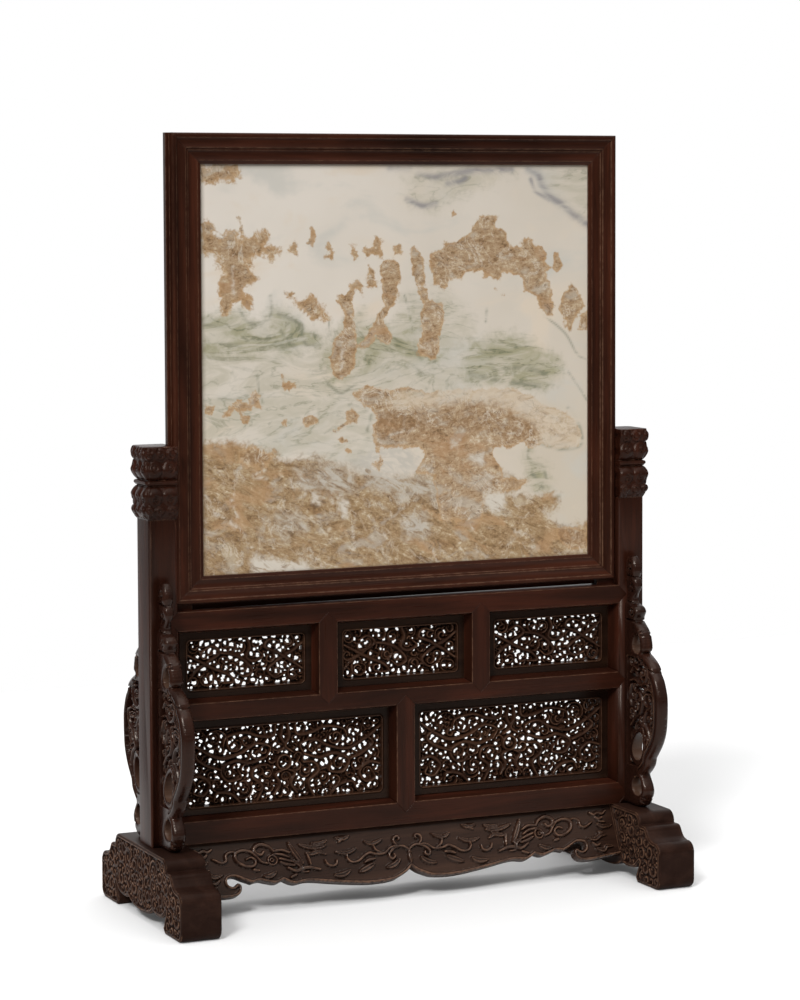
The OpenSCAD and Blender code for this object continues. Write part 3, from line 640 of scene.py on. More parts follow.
    def build(self, name, place, flip=False, rim=None):
        """Closed mesh of the board. Its rim takes heights from two fields, or narrows softly."""
        s, inside = self.solid, self.solid > 0
        count = int(inside.sum())
        index = np.full(s.shape, -1)
        index[inside] = np.arange(count)
        uv = [np.column_stack([self.U[inside], self.V[inside]])]
        tops, lows = [self.front[inside]], [self.back[inside]]
        crossing = []
        for di, dj in ((0, 1), (1, 0)):
            a = np.s_[: s.shape[0] - di, : s.shape[1] - dj]
            b = np.s_[di:, dj:]
            cut = inside[a] != inside[b]
            number = np.full(cut.shape, -1)
            number[cut] = count + np.arange(int(cut.sum()))
            count += int(cut.sum())
            crossing.append(number)
            t = np.clip((s[a] / np.where(cut, s[a] - s[b], 1))[cut], 0.08, 0.92)
            spots = [g[a][cut] + t * (g[b] - g[a])[cut] for g in (self.U, self.V)]
            uv.append(np.column_stack(spots))
            if rim is None:
                first = inside[a][cut]
                top, low = (np.where(first, f[a][cut], f[b][cut])
                            for f in (self.front, self.back))
                half = np.maximum(0.3, 0.45 * (top - low) / 2)
                tops.append((top + low) / 2 + half)
                lows.append((top + low) / 2 - half)
            else:
                for side, edge in zip((tops, lows), rim):
                    side.append(edge[a][cut] + t * (edge[b] - edge[a])[cut])
        uv, tops, lows = np.vstack(uv), np.concatenate(tops), np.concatenate(lows)
        points = np.vstack([np.column_stack(place(*uv.T, w)) for w in (tops, lows)])
        flat, steep = crossing
        # Corners of the grid's squares and the crossings between them, in turn
        ring = [index[:-1, :-1], flat[:-1], index[:-1, 1:], steep[:, 1:],
                index[1:, 1:], flat[1:], index[1:, :-1], steep[:, :-1]]
        code = sum((corner >= 0) << k for k, corner in enumerate(ring[::2]))
        faces = []
        for c in range(1, 16):
            cells = code == c
            if not cells.any():
                continue
            bits = [(c >> k) & 1 for k in range(4)]
            slots = []
            for k in range(4):
                slots += [2 * k] * bits[k]
                slots += [2 * k + 1] * (bits[k] != bits[(k + 1) % 4])
            poly = np.column_stack([ring[m][cells] for m in slots])
            faces += [poly, poly[:, ::-1] + count]
            for a, b in zip(slots, slots[1:] + slots[:1]):
                if a % 2 and b % 2:
                    va, vb = ring[a][cells], ring[b][cells]
                    faces.append(np.column_stack([va, va + count, vb + count, vb]))
        if flip:
            faces = [f[:, ::-1] for f in faces]
        return make_mesh(name, points * MM, faces)


def make_mesh(name, points, faces):
    """Mesh object from points in metres and arrays of faces."""
    mesh = bpy.data.meshes.new(name)
    corners = np.concatenate([f.ravel() for f in faces]).astype(np.int32)
    sizes = np.concatenate([np.full(len(f), f.shape[1]) for f in faces])
    starts = np.concatenate([[0], np.cumsum(sizes)[:-1]]).astype(np.int32)
    mesh.vertices.add(len(points))
    mesh.vertices.foreach_set("co", np.ascontiguousarray(points, np.float32).ravel())
    mesh.loops.add(len(corners))
    mesh.loops.foreach_set("vertex_index", corners)
    mesh.polygons.add(len(sizes))
    mesh.polygons.foreach_set("loop_start", starts)
    mesh.update(calc_edges=True)
    mesh.polygons.foreach_set("use_smooth", np.ones(len(sizes), bool))
    mesh.set_sharp_from_angle(angle=SMOOTH_ANGLE)
    return show(name, mesh)


def points_of(piece):
    """Places of a piece's points, in mm."""
    flat = np.empty(3 * len(piece.data.vertices), np.float32)
    piece.data.vertices.foreach_get("co", flat)
    return flat.reshape(-1, 3).T / MM


def keep(piece, key, values):
    """Values at the points of a piece, for its material."""
    data = piece.data.attributes.new(key, "FLOAT", "POINT").data
    data.foreach_set("value", values.astype(np.float32))


def stands_for(piece, node, body, slot, *materials):
    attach(piece, body)
    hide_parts(node)
    paint(piece, *materials)


# Figured stone

STONE_STEP = 1.6
# Outlines in mm from the middle and from the lower edge of the opening. Most of their points were
# read off the photo, and a fitted camera turned them into mm.
# Brown parts, and the places in the list of those with softer edges
STONE_BROWN = [
    [-200, 378, -160, 378, -160, 367, -166, 364, -165, 358, -171, 362, -173, 359, -180, 358,
     -189, 359, -200, 360],
    [-200, 325, -191, 326, -186, 320, -184, 315, -177, 311, -174, 316, -166, 316, -160, 310,
     -152, 308, -147, 310, -142, 316, -134, 316, -130, 312, -133, 304, -124, 302, -120, 299,
     -123, 294, -131, 289, -139, 292, -147, 290, -152, 284, -149, 279, -143, 273, -149, 267,
     -157, 260, -150, 253, -148, 246, -154, 245, -161, 251, -167, 247, -173, 238, -179, 237,
     -179, 246, -182, 259, -182, 272, -178, 279, -186, 286, -187, 294, -194, 293, -200, 295],
    [-163, 329, -160, 328, -157, 313, -155, 308, -160, 309],
    [-107, 309, -103, 302, -104, 293, -114, 297, -110, 302],
    [-89, 318, -85, 308, -88, 302, -93, 304, -90, 309],
    [-73, 305, -67, 295, -67, 288, -77, 291, -71, 294, -75, 299],
    [-51, 302, -46, 301, -42, 290, -46, 288, -50, 295],
    [-25, 310, -17, 304, -19, 299, -17, 293, -18, 289, -28, 294, -36, 286, -37, 299, -29, 300],
    [-7, 301, 1, 302, 2, 293, -6, 292],
    [-115, 257, -110, 257, -104, 251, -99, 250, -89, 253, -83, 247, -74, 242, -73, 235, -85, 232,
     -92, 233, -99, 238, -103, 245],
    [-51, 266, -43, 269, -35, 256, -38, 251, -44, 261, -47, 251, -46, 221, -44, 203, -47, 188,
     -51, 180, -60, 176, -69, 182, -71, 198, -66, 215, -58, 225, -56, 240, -64, 249, -63, 255,
     -55, 255],
    [-32, 282, -25, 276, -23, 261, -32, 262, -35, 269],
    [-17, 288, -7, 289, -2, 284, 1, 274, -2, 255, -5, 245, -10, 239, -17, 230, -13, 225, -8, 215,
     -11, 207, -19, 209, -24, 217, -31, 205, -40, 205, -42, 209, -32, 223, -24, 230, -21, 239,
     -17, 245, -18, 263, -21, 279],
    [12, 301, 22, 294, 27, 282, 26, 271, 28, 263, 18, 263, 12, 274],
    [19, 261, 28, 260, 30, 251, 46, 246, 47, 234, 44, 223, 42, 215, 42, 200, 34, 191, 26, 195,
     17, 199, 22, 218, 23, 229, 23, 247],
    [30, 294, 45, 299, 47, 304, 60, 303, 72, 310, 82, 326, 94, 331, 103, 328, 101, 318, 110, 314,
     114, 306, 119, 300, 127, 298, 129, 305, 135, 307, 140, 305, 142, 298, 149, 299, 156, 293,
     153, 282, 159, 278, 155, 275, 159, 263, 163, 242, 160, 231, 153, 234, 147, 241, 143, 250,
     131, 256, 127, 269, 117, 273, 109, 273, 106, 265, 88, 270, 87, 279, 79, 275, 69, 276, 64, 269,
     52, 267, 50, 260, 43, 259, 36, 264, 36, 270, 30, 280],
    [161, 297, 168, 291, 174, 280, 166, 272, 162, 277, 164, 286],
    [182, 263, 190, 257, 191, 251, 197, 241, 190, 236, 187, 229, 182, 218, 175, 220, 174, 229,
     169, 239, 174, 254],
    [204, 240, 204, 216, 190, 219, 191, 230, 196, 234],
    [95, 261, 103, 259, 109, 252, 103, 255],
    [52, 333, 57, 334, 59, 330, 55, 328],
    [-196, 158, -186, 156, -189, 147, -196, 148],
    [-179, 146, -172, 155, -164, 159, -153, 157, -152, 167, -146, 169, -139, 157, -140, 150,
     -148, 152, -159, 150, -167, 150, -172, 146],
    [-161, 147, -153, 144, -152, 138, -160, 138],
    [-123, 184, -119, 185, -118, 175, -106, 176, -106, 170, -119, 168],
    [-122, 139, -117, 140, -115, 135, -120, 134],
    [-101, 142, -90, 145, -83, 141, -84, 137, -97, 133],
    [-69, 129, -61, 136, -55, 138, -55, 146, -47, 148, -42, 143, -45, 136, -55, 133, -65, 128],
    [-67, 121, -61, 123, -53, 119, -62, 117],
    [-58, 112, -51, 113, -49, 107, -57, 108],
    [-28, 96, -21, 103, -14, 102, -16, 96, -22, 89],
    [-160, 115, -147, 118, -132, 111, -129, 103, -140, 96, -157, 97, -163, 104],
    [166, 27, 180, 29, 198, 25, 200, 5, 184, 5, 169, 14],
    [-50, 163, -34, 171, -26, 168, -10, 165, 4, 167, 32, 162, 59, 165, 119, 163, 142, 154,
     157, 144, 177, 140, 187, 129, 193, 116, 190, 105, 171, 104, 150, 108, 135, 105, 129, 110,
     117, 106, 99, 107, 98, 100, 105, 90, 108, 78, 134, 76, 134, 71, 113, 65, 90, 59, 84, 37,
     41, 39, 34, 82, 17, 87, 25, 104, 18, 110, -11, 112, -24, 108, -26, 117, -27, 132, -25, 143],
]
STONE_LOOSE = (0, 1, 9, 31)
# Broad tan foot of the figure
STONE_TAN = [
    [-212, 123, -166, 122, -152, 119, -133, 113, -124, 105, -90, 105, -69, 98, -55, 94, -42, 90,
     -27, 88, -9, 84, 26, 86, 37, 92, 42, 101, 95, 102, 107, 79, 134, 76, 112, 62, 167, 58,
     169, 48, 155, 42, 157, 35, 170, 30, 214, 31, 214, -47, -213, -22],
]
# Grey mist over the foot and above it
STONE_MIST = [
    [-46, 108, -18, 111, 9, 109, 23, 102, 16, 91, 9, 83, 30, 81, 37, 65, 9, 63, -18, 70, -39, 84,
     -49, 97],
    [-107, 95, -66, 97, -46, 87, -49, 72, -80, 70, -107, 80],
    [51, 83, 80, 80, 94, 65, 72, 60, 51, 67],
    [-5, 41, 23, 46, 30, 27, 9, 25],
    [-124, 53, -107, 54, -97, 39, -114, 31, -127, 38],
]
# Peach band and deep brown part of the largest brown area, and two smaller deep brown parts
STONE_PEACH = [
    [-18, 158, 31, 164, 66, 168, 101, 166, 137, 160, 166, 148, 192, 130, 198, 111, 192, 100,
     159, 104, 146, 110, 150, 124, 137, 136, 112, 145, 83, 153, 52, 152, 24, 148, -4, 150],
]
STONE_DEEP = [
    [-25, 149, 10, 147, 31, 141, 66, 151, 108, 147, 137, 128, 144, 112, 123, 111, 94, 120, 66, 124,
     30, 129, 3, 117, -22, 121],
    *STONE_BROWN[31:33],
]
# Pale pockets in the brown and tan parts
STONE_POCKETS = [
    [89, 63, 99, 64, 110, 61, 108, 48, 96, 45, 88, 54],
    [-152, 12, -141, 17, -131, 14, -111, 8, -97, 6, -93, -3, -150, -3],
    [-90, 72, -82, 70, -83, 61, -90, 62],
    [-63, 65, -54, 63, -55, 48, -60, 47],
    [53, 117, 61, 115, 60, 109, 53, 110],
    [74, 99, 87, 100, 89, 93, 76, 93],
]
# Green veils
STONE_GREEN = [
    [-200, 237, -162, 243, -153, 233, -139, 231, -129, 244, -119, 241, -104, 233, -99, 225,
     -77, 219, -77, 208, -92, 208, -113, 202, -166, 203, -201, 202],
    [65, 199, 86, 210, 111, 215, 131, 212, 149, 201, 167, 190, 170, 177, 154, 163, 113, 167,
     76, 172, 65, 185],
    [135, 104, 139, 91, 152, 86, 157, 67, 143, 65, 136, 78],
    [-78, 214, -60, 226, -38, 240, -30, 228, -8, 226, 12, 236, 20, 210, 46, 198, 34, 188, -6, 198,
     -40, 184, -70, 174],
]
# Greyish haze
STONE_HAZE = [
    [-212, 212, -72, 209, -5, 212, 52, 199, 74, 167, 0, 155, -26, 127, -42, 86, -103, 102,
     -212, 125],
    [7, 374, 46, 374, 117, 374, 117, 369, 89, 359, 49, 339, 36, 334, 11, 344],
    [154, 374, 205, 374, 205, 326, 175, 339, 158, 354],
    [5, 249, 42, 263, 74, 229, 74, 205, 21, 192, 0, 212],
]
# Pale streaks, dark green lines and purple-grey veins: points and half width
STONE_STREAKS = [
    ([-198, 76, -188, 58, -178, 53, -162, 39, -155, 28, -143, 11], 2.2),
    ([-166, 92, -169, 75, -170, 66, -165, 52], 1.8),
    ([-138, 95, -149, 90, -136, 87], 1.6),
    ([-112, 85, -108, 76], 1.4),
    ([-103, 82, -97, 71], 1.4),
    ([-71, 66, -69, 60], 1.6),
    ([-75, 42, -71, 28], 1.6),
    ([-34, 49, -22, 37, -9, 18], 1.5),
    ([-50, 37, -47, 18], 1.8),
    ([-97, 20, -89, 11, -78, 0], 1.6),
    ([5, 43, 8, 29], 1.8),
    ([52, 91, 52, 83], 1.2),
    ([67, 47, 76, 31], 1.8),
    ([32, 15, 39, 1], 2.0),
    ([120, 27, 134, 21], 1.8),
    ([79, 86, 105, 76], 1.3),
    ([-168, 284, -167, 273, -168, 263, -166, 257], 1.5),
    ([-59, 204, -60, 185], 1.6),
    ([32, 293, 43, 298, 72, 305], 0.6),
    ([111, 289, 117, 302], 0.7),
    ([140, 270, 147, 276], 0.7),
    ([-11, 123, 7, 127, 44, 140], 0.8),
    ([111, 120, 121, 120], 1.0),
]
STONE_DARK = [
    ([-161, 243, -153, 232, -137, 230, -130, 241, -131, 255], 1.5),
    ([-123, 239, -113, 235, -100, 228, -99, 218, -94, 209, -80, 210], 1.8),
    ([-200, 231, -179, 228, -162, 230], 1.2),
    ([-200, 216, -179, 213, -161, 210], 1.2),
    ([-121, 224, -115, 215, -105, 208], 1.2),
    ([-90, 221, -81, 217], 2.0),
    ([-44, 242, -39, 235, -42, 226], 1.6),
    ([-72, 233, -73, 224], 0.8),
    ([5, 254, 9, 240, 12, 227, 16, 202], 0.9),
    ([16, 202, 26, 190, 37, 191], 1.6),
    ([152, 233, 175, 215, 188, 195, 201, 187], 1.0),
    ([91, 240, 90, 228], 1.2),
    ([73, 178, 105, 171, 147, 165], 2.4),
    ([99, 183, 135, 182, 153, 176], 2.4),
    ([15, 186, 24, 180, 34, 184], 2.0),
    ([136, 105, 146, 110, 161, 105, 173, 103, 191, 106, 193, 117, 185, 136, 178, 142], 1.7),
    ([135, 102, 137, 92, 151, 86, 156, 68], 1.6),
    ([139, 81, 151, 67], 2.0),
    ([120, 49, 148, 49, 169, 58], 1.3),
    ([134, 41, 142, 47, 151, 49], 1.0),
    ([178, 178, 190, 163, 199, 149], 1.0),
    ([-52, 153, -32, 148, -31, 138, -34, 128], 1.6),
    ([-74, 173, -61, 164, -48, 170], 1.4),
    ([-14, 73, -10, 68, 0, 65], 1.6),
    ([-186, 121, -181, 124, -164, 124, -159, 121], 0.9),
    ([-68, 101, -45, 100], 1.0),
    ([-77, 127, -70, 131], 0.9),
    ([-144, 183, -143, 169, -139, 157], 0.9),
    ([-182, 163, -165, 162, -155, 164], 1.6),
    ([-94, 185, -76, 184], 1.4),
    ([-94, 148, -83, 145], 0.9),
]
STONE_VEINS = [
    ([20, 369, 36, 365, 50, 367, 77, 371], 2.2),
    ([50, 359, 63, 361, 69, 364], 2.0),
    ([136, 373, 146, 367, 151, 356, 161, 345, 174, 338, 187, 327, 203, 318], 2.5),
    ([138, 363, 143, 352, 158, 343], 1.3),
    ([8, 344, 24, 338, 38, 340], 1.8),
    ([-10, 374, 11, 373], 2.0),
    ([80, 372, 117, 372], 2.2),
]


def stone_slab(finish):
    """Slab with its figure kept at the points of its face, as distances in mm or strengths."""
    (x0, y0, z0), (x1, y1, z1) = (np.array(c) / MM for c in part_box("stone_slab"))
    p = Plate(np.linspace(x0, x1, int((x1 - x0) / STONE_STEP)),
              np.linspace(z0, z1, int((z1 - z0) / STONE_STEP)) - STONE_LOW)

    def areas(shapes, loose=()):
        far = [p.distance(np.reshape(s, (-1, 2))) * (0.5 if k in loose else 1)
               for k, s in enumerate(shapes)]
        return np.clip(np.max(far, 0), -40, 40)

    def lines(strokes, spread=1.0):
        best = np.zeros(p.U.shape)
        for points, r in strokes:
            r = r * spread
            for u, v in spline(np.reshape(points, (-1, 2)), 0.8):
                w, d = p.near(u, v, 3 * r)
                best[w] = np.maximum(best[w], np.exp(-((d / r) ** 2)))
        return best

    face = np.column_stack([p.U.ravel(), np.full(p.U.size, y0), p.V.ravel() + STONE_LOW])
    k = np.arange(p.U.size).reshape(p.U.shape)
    ring = np.concatenate([k[0, :-1], k[:-1, -1], k[-1, :0:-1], k[:0:-1, 0]])
    after = np.roll(ring, -1)
    n, m = p.U.size, len(ring)
    behind = face[ring]
    behind[:, 1] = y1
    points = np.vstack([face, behind, [((x0 + x1) / 2, y1, (z0 + z1) / 2)]])
    r = np.arange(m)
    quads = np.stack([k[:-1, :-1], k[:-1, 1:], k[1:, 1:], k[1:, :-1]], -1).reshape(-1, 4)
    sides = np.column_stack([after, ring, n + r, n + (r + 1) % m])
    fan = np.column_stack([n + (r + 1) % m, n + r, np.full(m, n + m)])
    piece = make_mesh("stone_slab_figured", points * MM, [quads, sides, fan])
    for key, value in (
        ("brown", areas(STONE_BROWN, STONE_LOOSE)), ("tan", areas(STONE_TAN)),
        ("pocket", areas(STONE_POCKETS)), ("green", areas(STONE_GREEN)),
        ("haze", areas(STONE_HAZE)), ("mist", areas(STONE_MIST)),
        ("peach", areas(STONE_PEACH)), ("deep", areas(STONE_DEEP)),
        ("streak", lines(STONE_STREAKS)), ("dark", lines(STONE_DARK)),
        ("vein", lines(STONE_VEINS, 1.5)),
    ):
        keep(piece, key, np.concatenate([value.ravel(), np.zeros(m + 1)]))
    stands_for(piece, "stone_slab", "screen_panel", "figured_marble", finish)


# Openwork panels between the rails

# Main stems of a small panel, as shares of half the field
SMALL_STEMS = [
    [(-1.02, -0.75), (-0.86, -0.30), (-0.62, 0.10), (-0.44, 0.42), (-0.56, 0.72), (-0.72, 0.56)],
    [(-0.98, 0.40), (-0.80, 0.15), (-0.55, -0.20), (-0.30, -0.48), (-0.20, -0.80), (-0.38, -0.82)],
    [(-0.44, 0.42), (-0.18, 0.30), (0.02, -0.02), (0.12, -0.42), (-0.02, -0.62), (-0.14, -0.40)],
    [(0.02, 1.02), (0.08, 0.60), (0.02, 0.20), (0.14, 0.00), (0.30, 0.18), (0.22, 0.42)],
    [(1.02, 0.70), (0.84, 0.34), (0.60, 0.02), (0.40, -0.40), (0.52, -0.74), (0.70, -0.58)],
    [(0.98, -0.42), (0.80, -0.10), (0.56, 0.28), (0.34, 0.56), (0.42, 0.86), (0.60, 0.76)],
]
# Main stems of a large panel, which has their mirror images too
LARGE_STEMS = [
    [(1.02, 0.78), (0.86, 0.46), (0.66, 0.20), (0.46, 0.30), (0.30, 0.52), (0.16, 0.40),
     (0.20, 0.14)],
    [(0.20, 0.14), (0.36, 0.02), (0.52, 0.10), (0.66, -0.10), (0.60, -0.40), (0.46, -0.36),
     (0.48, -0.16)],
    [(1.02, -0.30), (0.88, -0.22), (0.78, -0.44), (0.84, -0.72), (0.94, -0.66), (0.92, -0.48)],
    [(0.30, -1.02), (0.24, -0.62), (0.34, -0.34), (0.30, -0.10), (0.18, -0.06)],
    [(0.66, -0.10), (0.82, 0.06), (0.92, 0.30), (0.84, 0.52)],
    [(0.10, 1.02), (0.12, 0.70), (0.26, 0.70), (0.42, 0.84), (0.60, 0.74), (0.64, 0.52)],
    [(0.46, -1.02), (0.56, -0.76), (0.70, -0.70), (0.74, -0.90)],
    [(0.02, 1.02), (0.04, 0.66), (0.00, 0.40), (0.08, 0.22)],
    [(0.12, -0.86), (0.06, -0.60), (0.10, -0.34), (0.02, -0.22)],
]
# Middle and radius of the ring in a large panel
ROUNDEL = ((-1.5, -1.0), 6.8)
# Heights of the two rows, and each panel's ends, row and seed, and the gaps that a web closes
UPPER, LOWER = (200.6, 261.8), (91.7, 178.8)
PANELS = [
    ("upper_left_panel", -222.7, -91.5, UPPER, 3, 0.93),
    ("upper_middle_panel", -66.8, 66.8, UPPER, 4, 1.26),
    ("upper_right_panel", 91.5, 222.7, UPPER, 5, 1.02),
    ("lower_left_panel", -222.7, -12.35, LOWER, 6, 1.11),
    ("lower_right_panel", 12.35, 222.7, LOWER, 7, 1.05),
]
# Grids of small and large panels; the large ones stay under 200,000 triangles
PANEL_STEPS = (0.6, 0.65)


def openwork(node, x0, x1, row, seed, shut, finish):
    """Panel with a plain border, a bead and a tangle of stems and hooks, cut right through."""
    z0, z1 = row
    large = row == LOWER
    hw, hh = (x1 - x0) / 2, (z1 - z0) / 2
    border, thick, edge, tuck, corner_r = 8.0, 4.5, 2.5, 2.0, 3.2
    bead_half, bead_h = 0.9, 0.7
    stem_rise, ring_half, hook_half = 2.8, 1.3, (0.8, 1.2)
    # Gaps that get no hook, gaps with room for a whole curl, holes between ties, and their margin
    narrow, roomy, longest, grow = 1.35, 3.4, 5.4, 0.9
    web_front, web_back = -1.0, -2.2
    p = Plate(*grid((-hw - tuck, -hh - tuck), (hw + tuck, hh + tuck), PANEL_STEPS[large]))
    rng = np.random.default_rng(seed)
    fw, fh = hw - border, hh - border

    def outside(u, v):
        qx, qz = np.abs(u) - (fw - corner_r), np.abs(v) - (fh - corner_r)
        corner = np.hypot(np.maximum(qx, 0), np.maximum(qz, 0))
        return corner + np.minimum(np.maximum(qx, qz), 0) - corner_r

    out = outside(p.U, p.V)
    beyond = np.maximum(np.abs(p.U) - hw, np.abs(p.V) - hh)
    plain = np.where(beyond > 0, edge, thick)
    plain = plain + bead_h * np.sqrt(np.clip(1 - ((out - bead_half) / bead_half) ** 2, 0, None))
    framed = out > -0.01
    p.solid = out.copy()
    p.front = np.where(framed, plain, p.front)
    p.back = np.where(framed, -plain, p.back)
    stems = LARGE_STEMS + [mirrored(s) for s in LARGE_STEMS] if large else SMALL_STEMS
    for k, stem in enumerate(stems):
        path = spline([(u * fw, v * fh, 1) for u, v in stem])
        t = np.linspace(0, 1, len(path))
        path[:, 2] = np.interp(t, (0, 0.3, 0.8, 1), (1.4, 2.0, 1.6, 1.0))
        p.stem(path, 1.5 if k % 2 else 0.5, stem_rise)
    if large:
        middle, r = ROUNDEL
        p.stem(spiral(middle, r, r, 0, 1.0, ring_half, ring_half), 1.6, 2.6)
    dense = 0.8 * p.drift(rng, 14.0)
    for u, v, deep in p.gaps(p.solid, out < 0, narrow, extra=dense):
        w, d = p.near(u, v, 1.0)
        gap = (u, v, deep + dense[w].flat[d.argmin()])
        if gap[2] > roomy:
            path = p.hook(p.solid, gap, rng, hook_half, (0.55, 0.9), 0.5, 0.42, swell=0.2)
        else:
            path = p.hook(p.solid, gap, rng, hook_half, (0.15, 0.4), 0.5, 0.3, thin=0.75)
        p.stem(path, rng.uniform(-1.6, 1.4), rng.uniform(1.6, 2.4))
    # A thin web closes narrow gaps, wide ones stay open as rounded holes, and nothing is left loose
    for turn in range(2):
        holes = p.lowest(p.solid + shut, grow)
        wood = p.joined(framed, holes > 0)
        if turn == 0:
            for cells in p.parts(~wood):
                p.tie(cells, longest, rng)
    web = wood & (p.solid <= 0)
    p.front[web], p.back[web] = web_front, web_back
    p.solid = np.where(wood, np.maximum(holes, 0.05), np.minimum(holes, -0.05))
    p.solid = np.minimum(p.solid, tuck - beyond)
    cx, cz = (x0 + x1) / 2, (z0 + z1) / 2
    piece = p.build(node + "_openwork", lambda u, v, w: (u + cx, -w, v + cz))
    x, _, z = points_of(piece)
    # Painted shade on the plain border outside the bead
    keep(piece, "shade", np.interp(outside(x - cx, z - cz), (0.8, 2.0), (0, 0.6)))
    stands_for(piece, node, "stand", "carved_hardwood", finish)


# Brackets against the posts

BRACKET_SIZE = (65.5, 245.0)
# Lobes of the free edge from the foot upwards, as shares of reach and height
BRACKET_EDGE = [
    [(0.38, 0), (0.50, 0.018), (0.585, 0.06), (0.57, 0.09), (0.465, 0.131)],
    [(0.465, 0.131), (0.56, 0.152), (0.635, 0.175), (0.668, 0.203)],
    [(0.668, 0.203), (0.72, 0.218), (0.80, 0.243), (0.885, 0.276), (0.955, 0.32), (0.985, 0.38),
     (0.985, 0.447), (0.95, 0.484), (0.885, 0.522), (0.80, 0.548)],
    [(0.80, 0.548), (0.785, 0.566), (0.70, 0.588), (0.58, 0.606), (0.48, 0.617)],
    [(0.48, 0.617), (0.53, 0.632), (0.51, 0.667), (0.45, 0.703), (0.29, 0.737)],
    [(0.29, 0.737), (0.285, 0.75), (0.335, 0.775), (0.28, 0.796), (0.18, 0.806)],
    [(0.18, 0.806), (0.155, 0.826), (0.255, 0.868), (0.24, 0.897), (0.20, 0.911)],
    [(0.20, 0.911), (0.225, 0.935), (0.20, 0.968), (0.12, 0.994), (0, 0.99)],
]
# Openings with straight walls: middle, half width, half height and tilt in degrees
BRACKET_DROPS = [
    ((22.0, 159.5), 7.6, 9.4, 8), ((23.4, 21.0), 9.0, 9.4, 10), ((24.5, 60.0), 9.6, 14.5, 22),
]
# Height and share of the thickness along the finger
BRACKET_FINGER = [
    (194, 1), (202, 0.66), (208, 0.46), (213, 0.66), (219, 0.78), (223, 0.68), (227, 0.80),
    (236, 0.78), (242, 0.62), (245, 0.42),
]
# Main stems in the sunk field
BRACKET_STEMS = [
    [(41, 50), (47, 62), (42, 76), (34, 84), (40, 96), (50, 102), (53, 114), (44, 118)],
    [(8, 78), (16, 86), (26, 92), (30, 104), (22, 112), (16, 104)],
    [(8, 122), (18, 124), (28, 120), (38, 126), (40, 138), (30, 141)],
    [(60, 88), (52, 90), (46, 84)],
    [(10, 98), (6, 108), (10, 118)],
    [(22, 134), (14, 136), (8, 130)],
]
# Eyes cut into the lobes, the bead and the finger: arguments of a spiral
BRACKET_EYES = [
    ((33.5, 8), 3.4, 1.2, 110, -1.1, 1.0, 0.8),
    ((29, 171), 3.4, 1.2, 80, -1.1, 1.0, 0.8),
    ((33, 141), 4.0, 1.2, 60, 1.1, 1.1, 0.8),
    ((13, 190), 4.2, 1.4, 200, 0.9, 1.1, 0.8),
    ((8, 213), 4.4, 1.2, 250, 0.9, 1.1, 0.8),
    ((7, 234), 4.0, 1.2, 230, 0.9, 1.0, 0.8),
]
# Lines cut there: points and half width
BRACKET_LINES = [
    ([(0, 224), (8, 223.5), (14, 222.5)], 1.2),
    ([(2, 199), (8, 198), (13, 197)], 1.2),
    ([(2, 181), (10, 181.5), (20, 180.5)], 1.2),
    ([(44, 138), (50, 136), (56, 132)], 1.0),
]


def bracket_drop(u, v):
    """How far a place lies inside the nearest opening, and how high in it, from -1 to 1."""
    best, high = [], []
    for c, wide, tall, tilt in BRACKET_DROPS:
        a = math.radians(tilt)
        x = (u - c[0]) * math.cos(a) - (v - c[1]) * math.sin(a)
        y = (u - c[0]) * math.sin(a) + (v - c[1]) * math.cos(a)
        best.append((1 - np.hypot(x / (wide * (1 - 0.22 * y / tall)), y / tall)) * wide)
        high.append(y / tall)
    k = np.argmax(best, 0)[None]
    return [np.take_along_axis(np.array(values), k, 0)[0] for values in (best, high)]


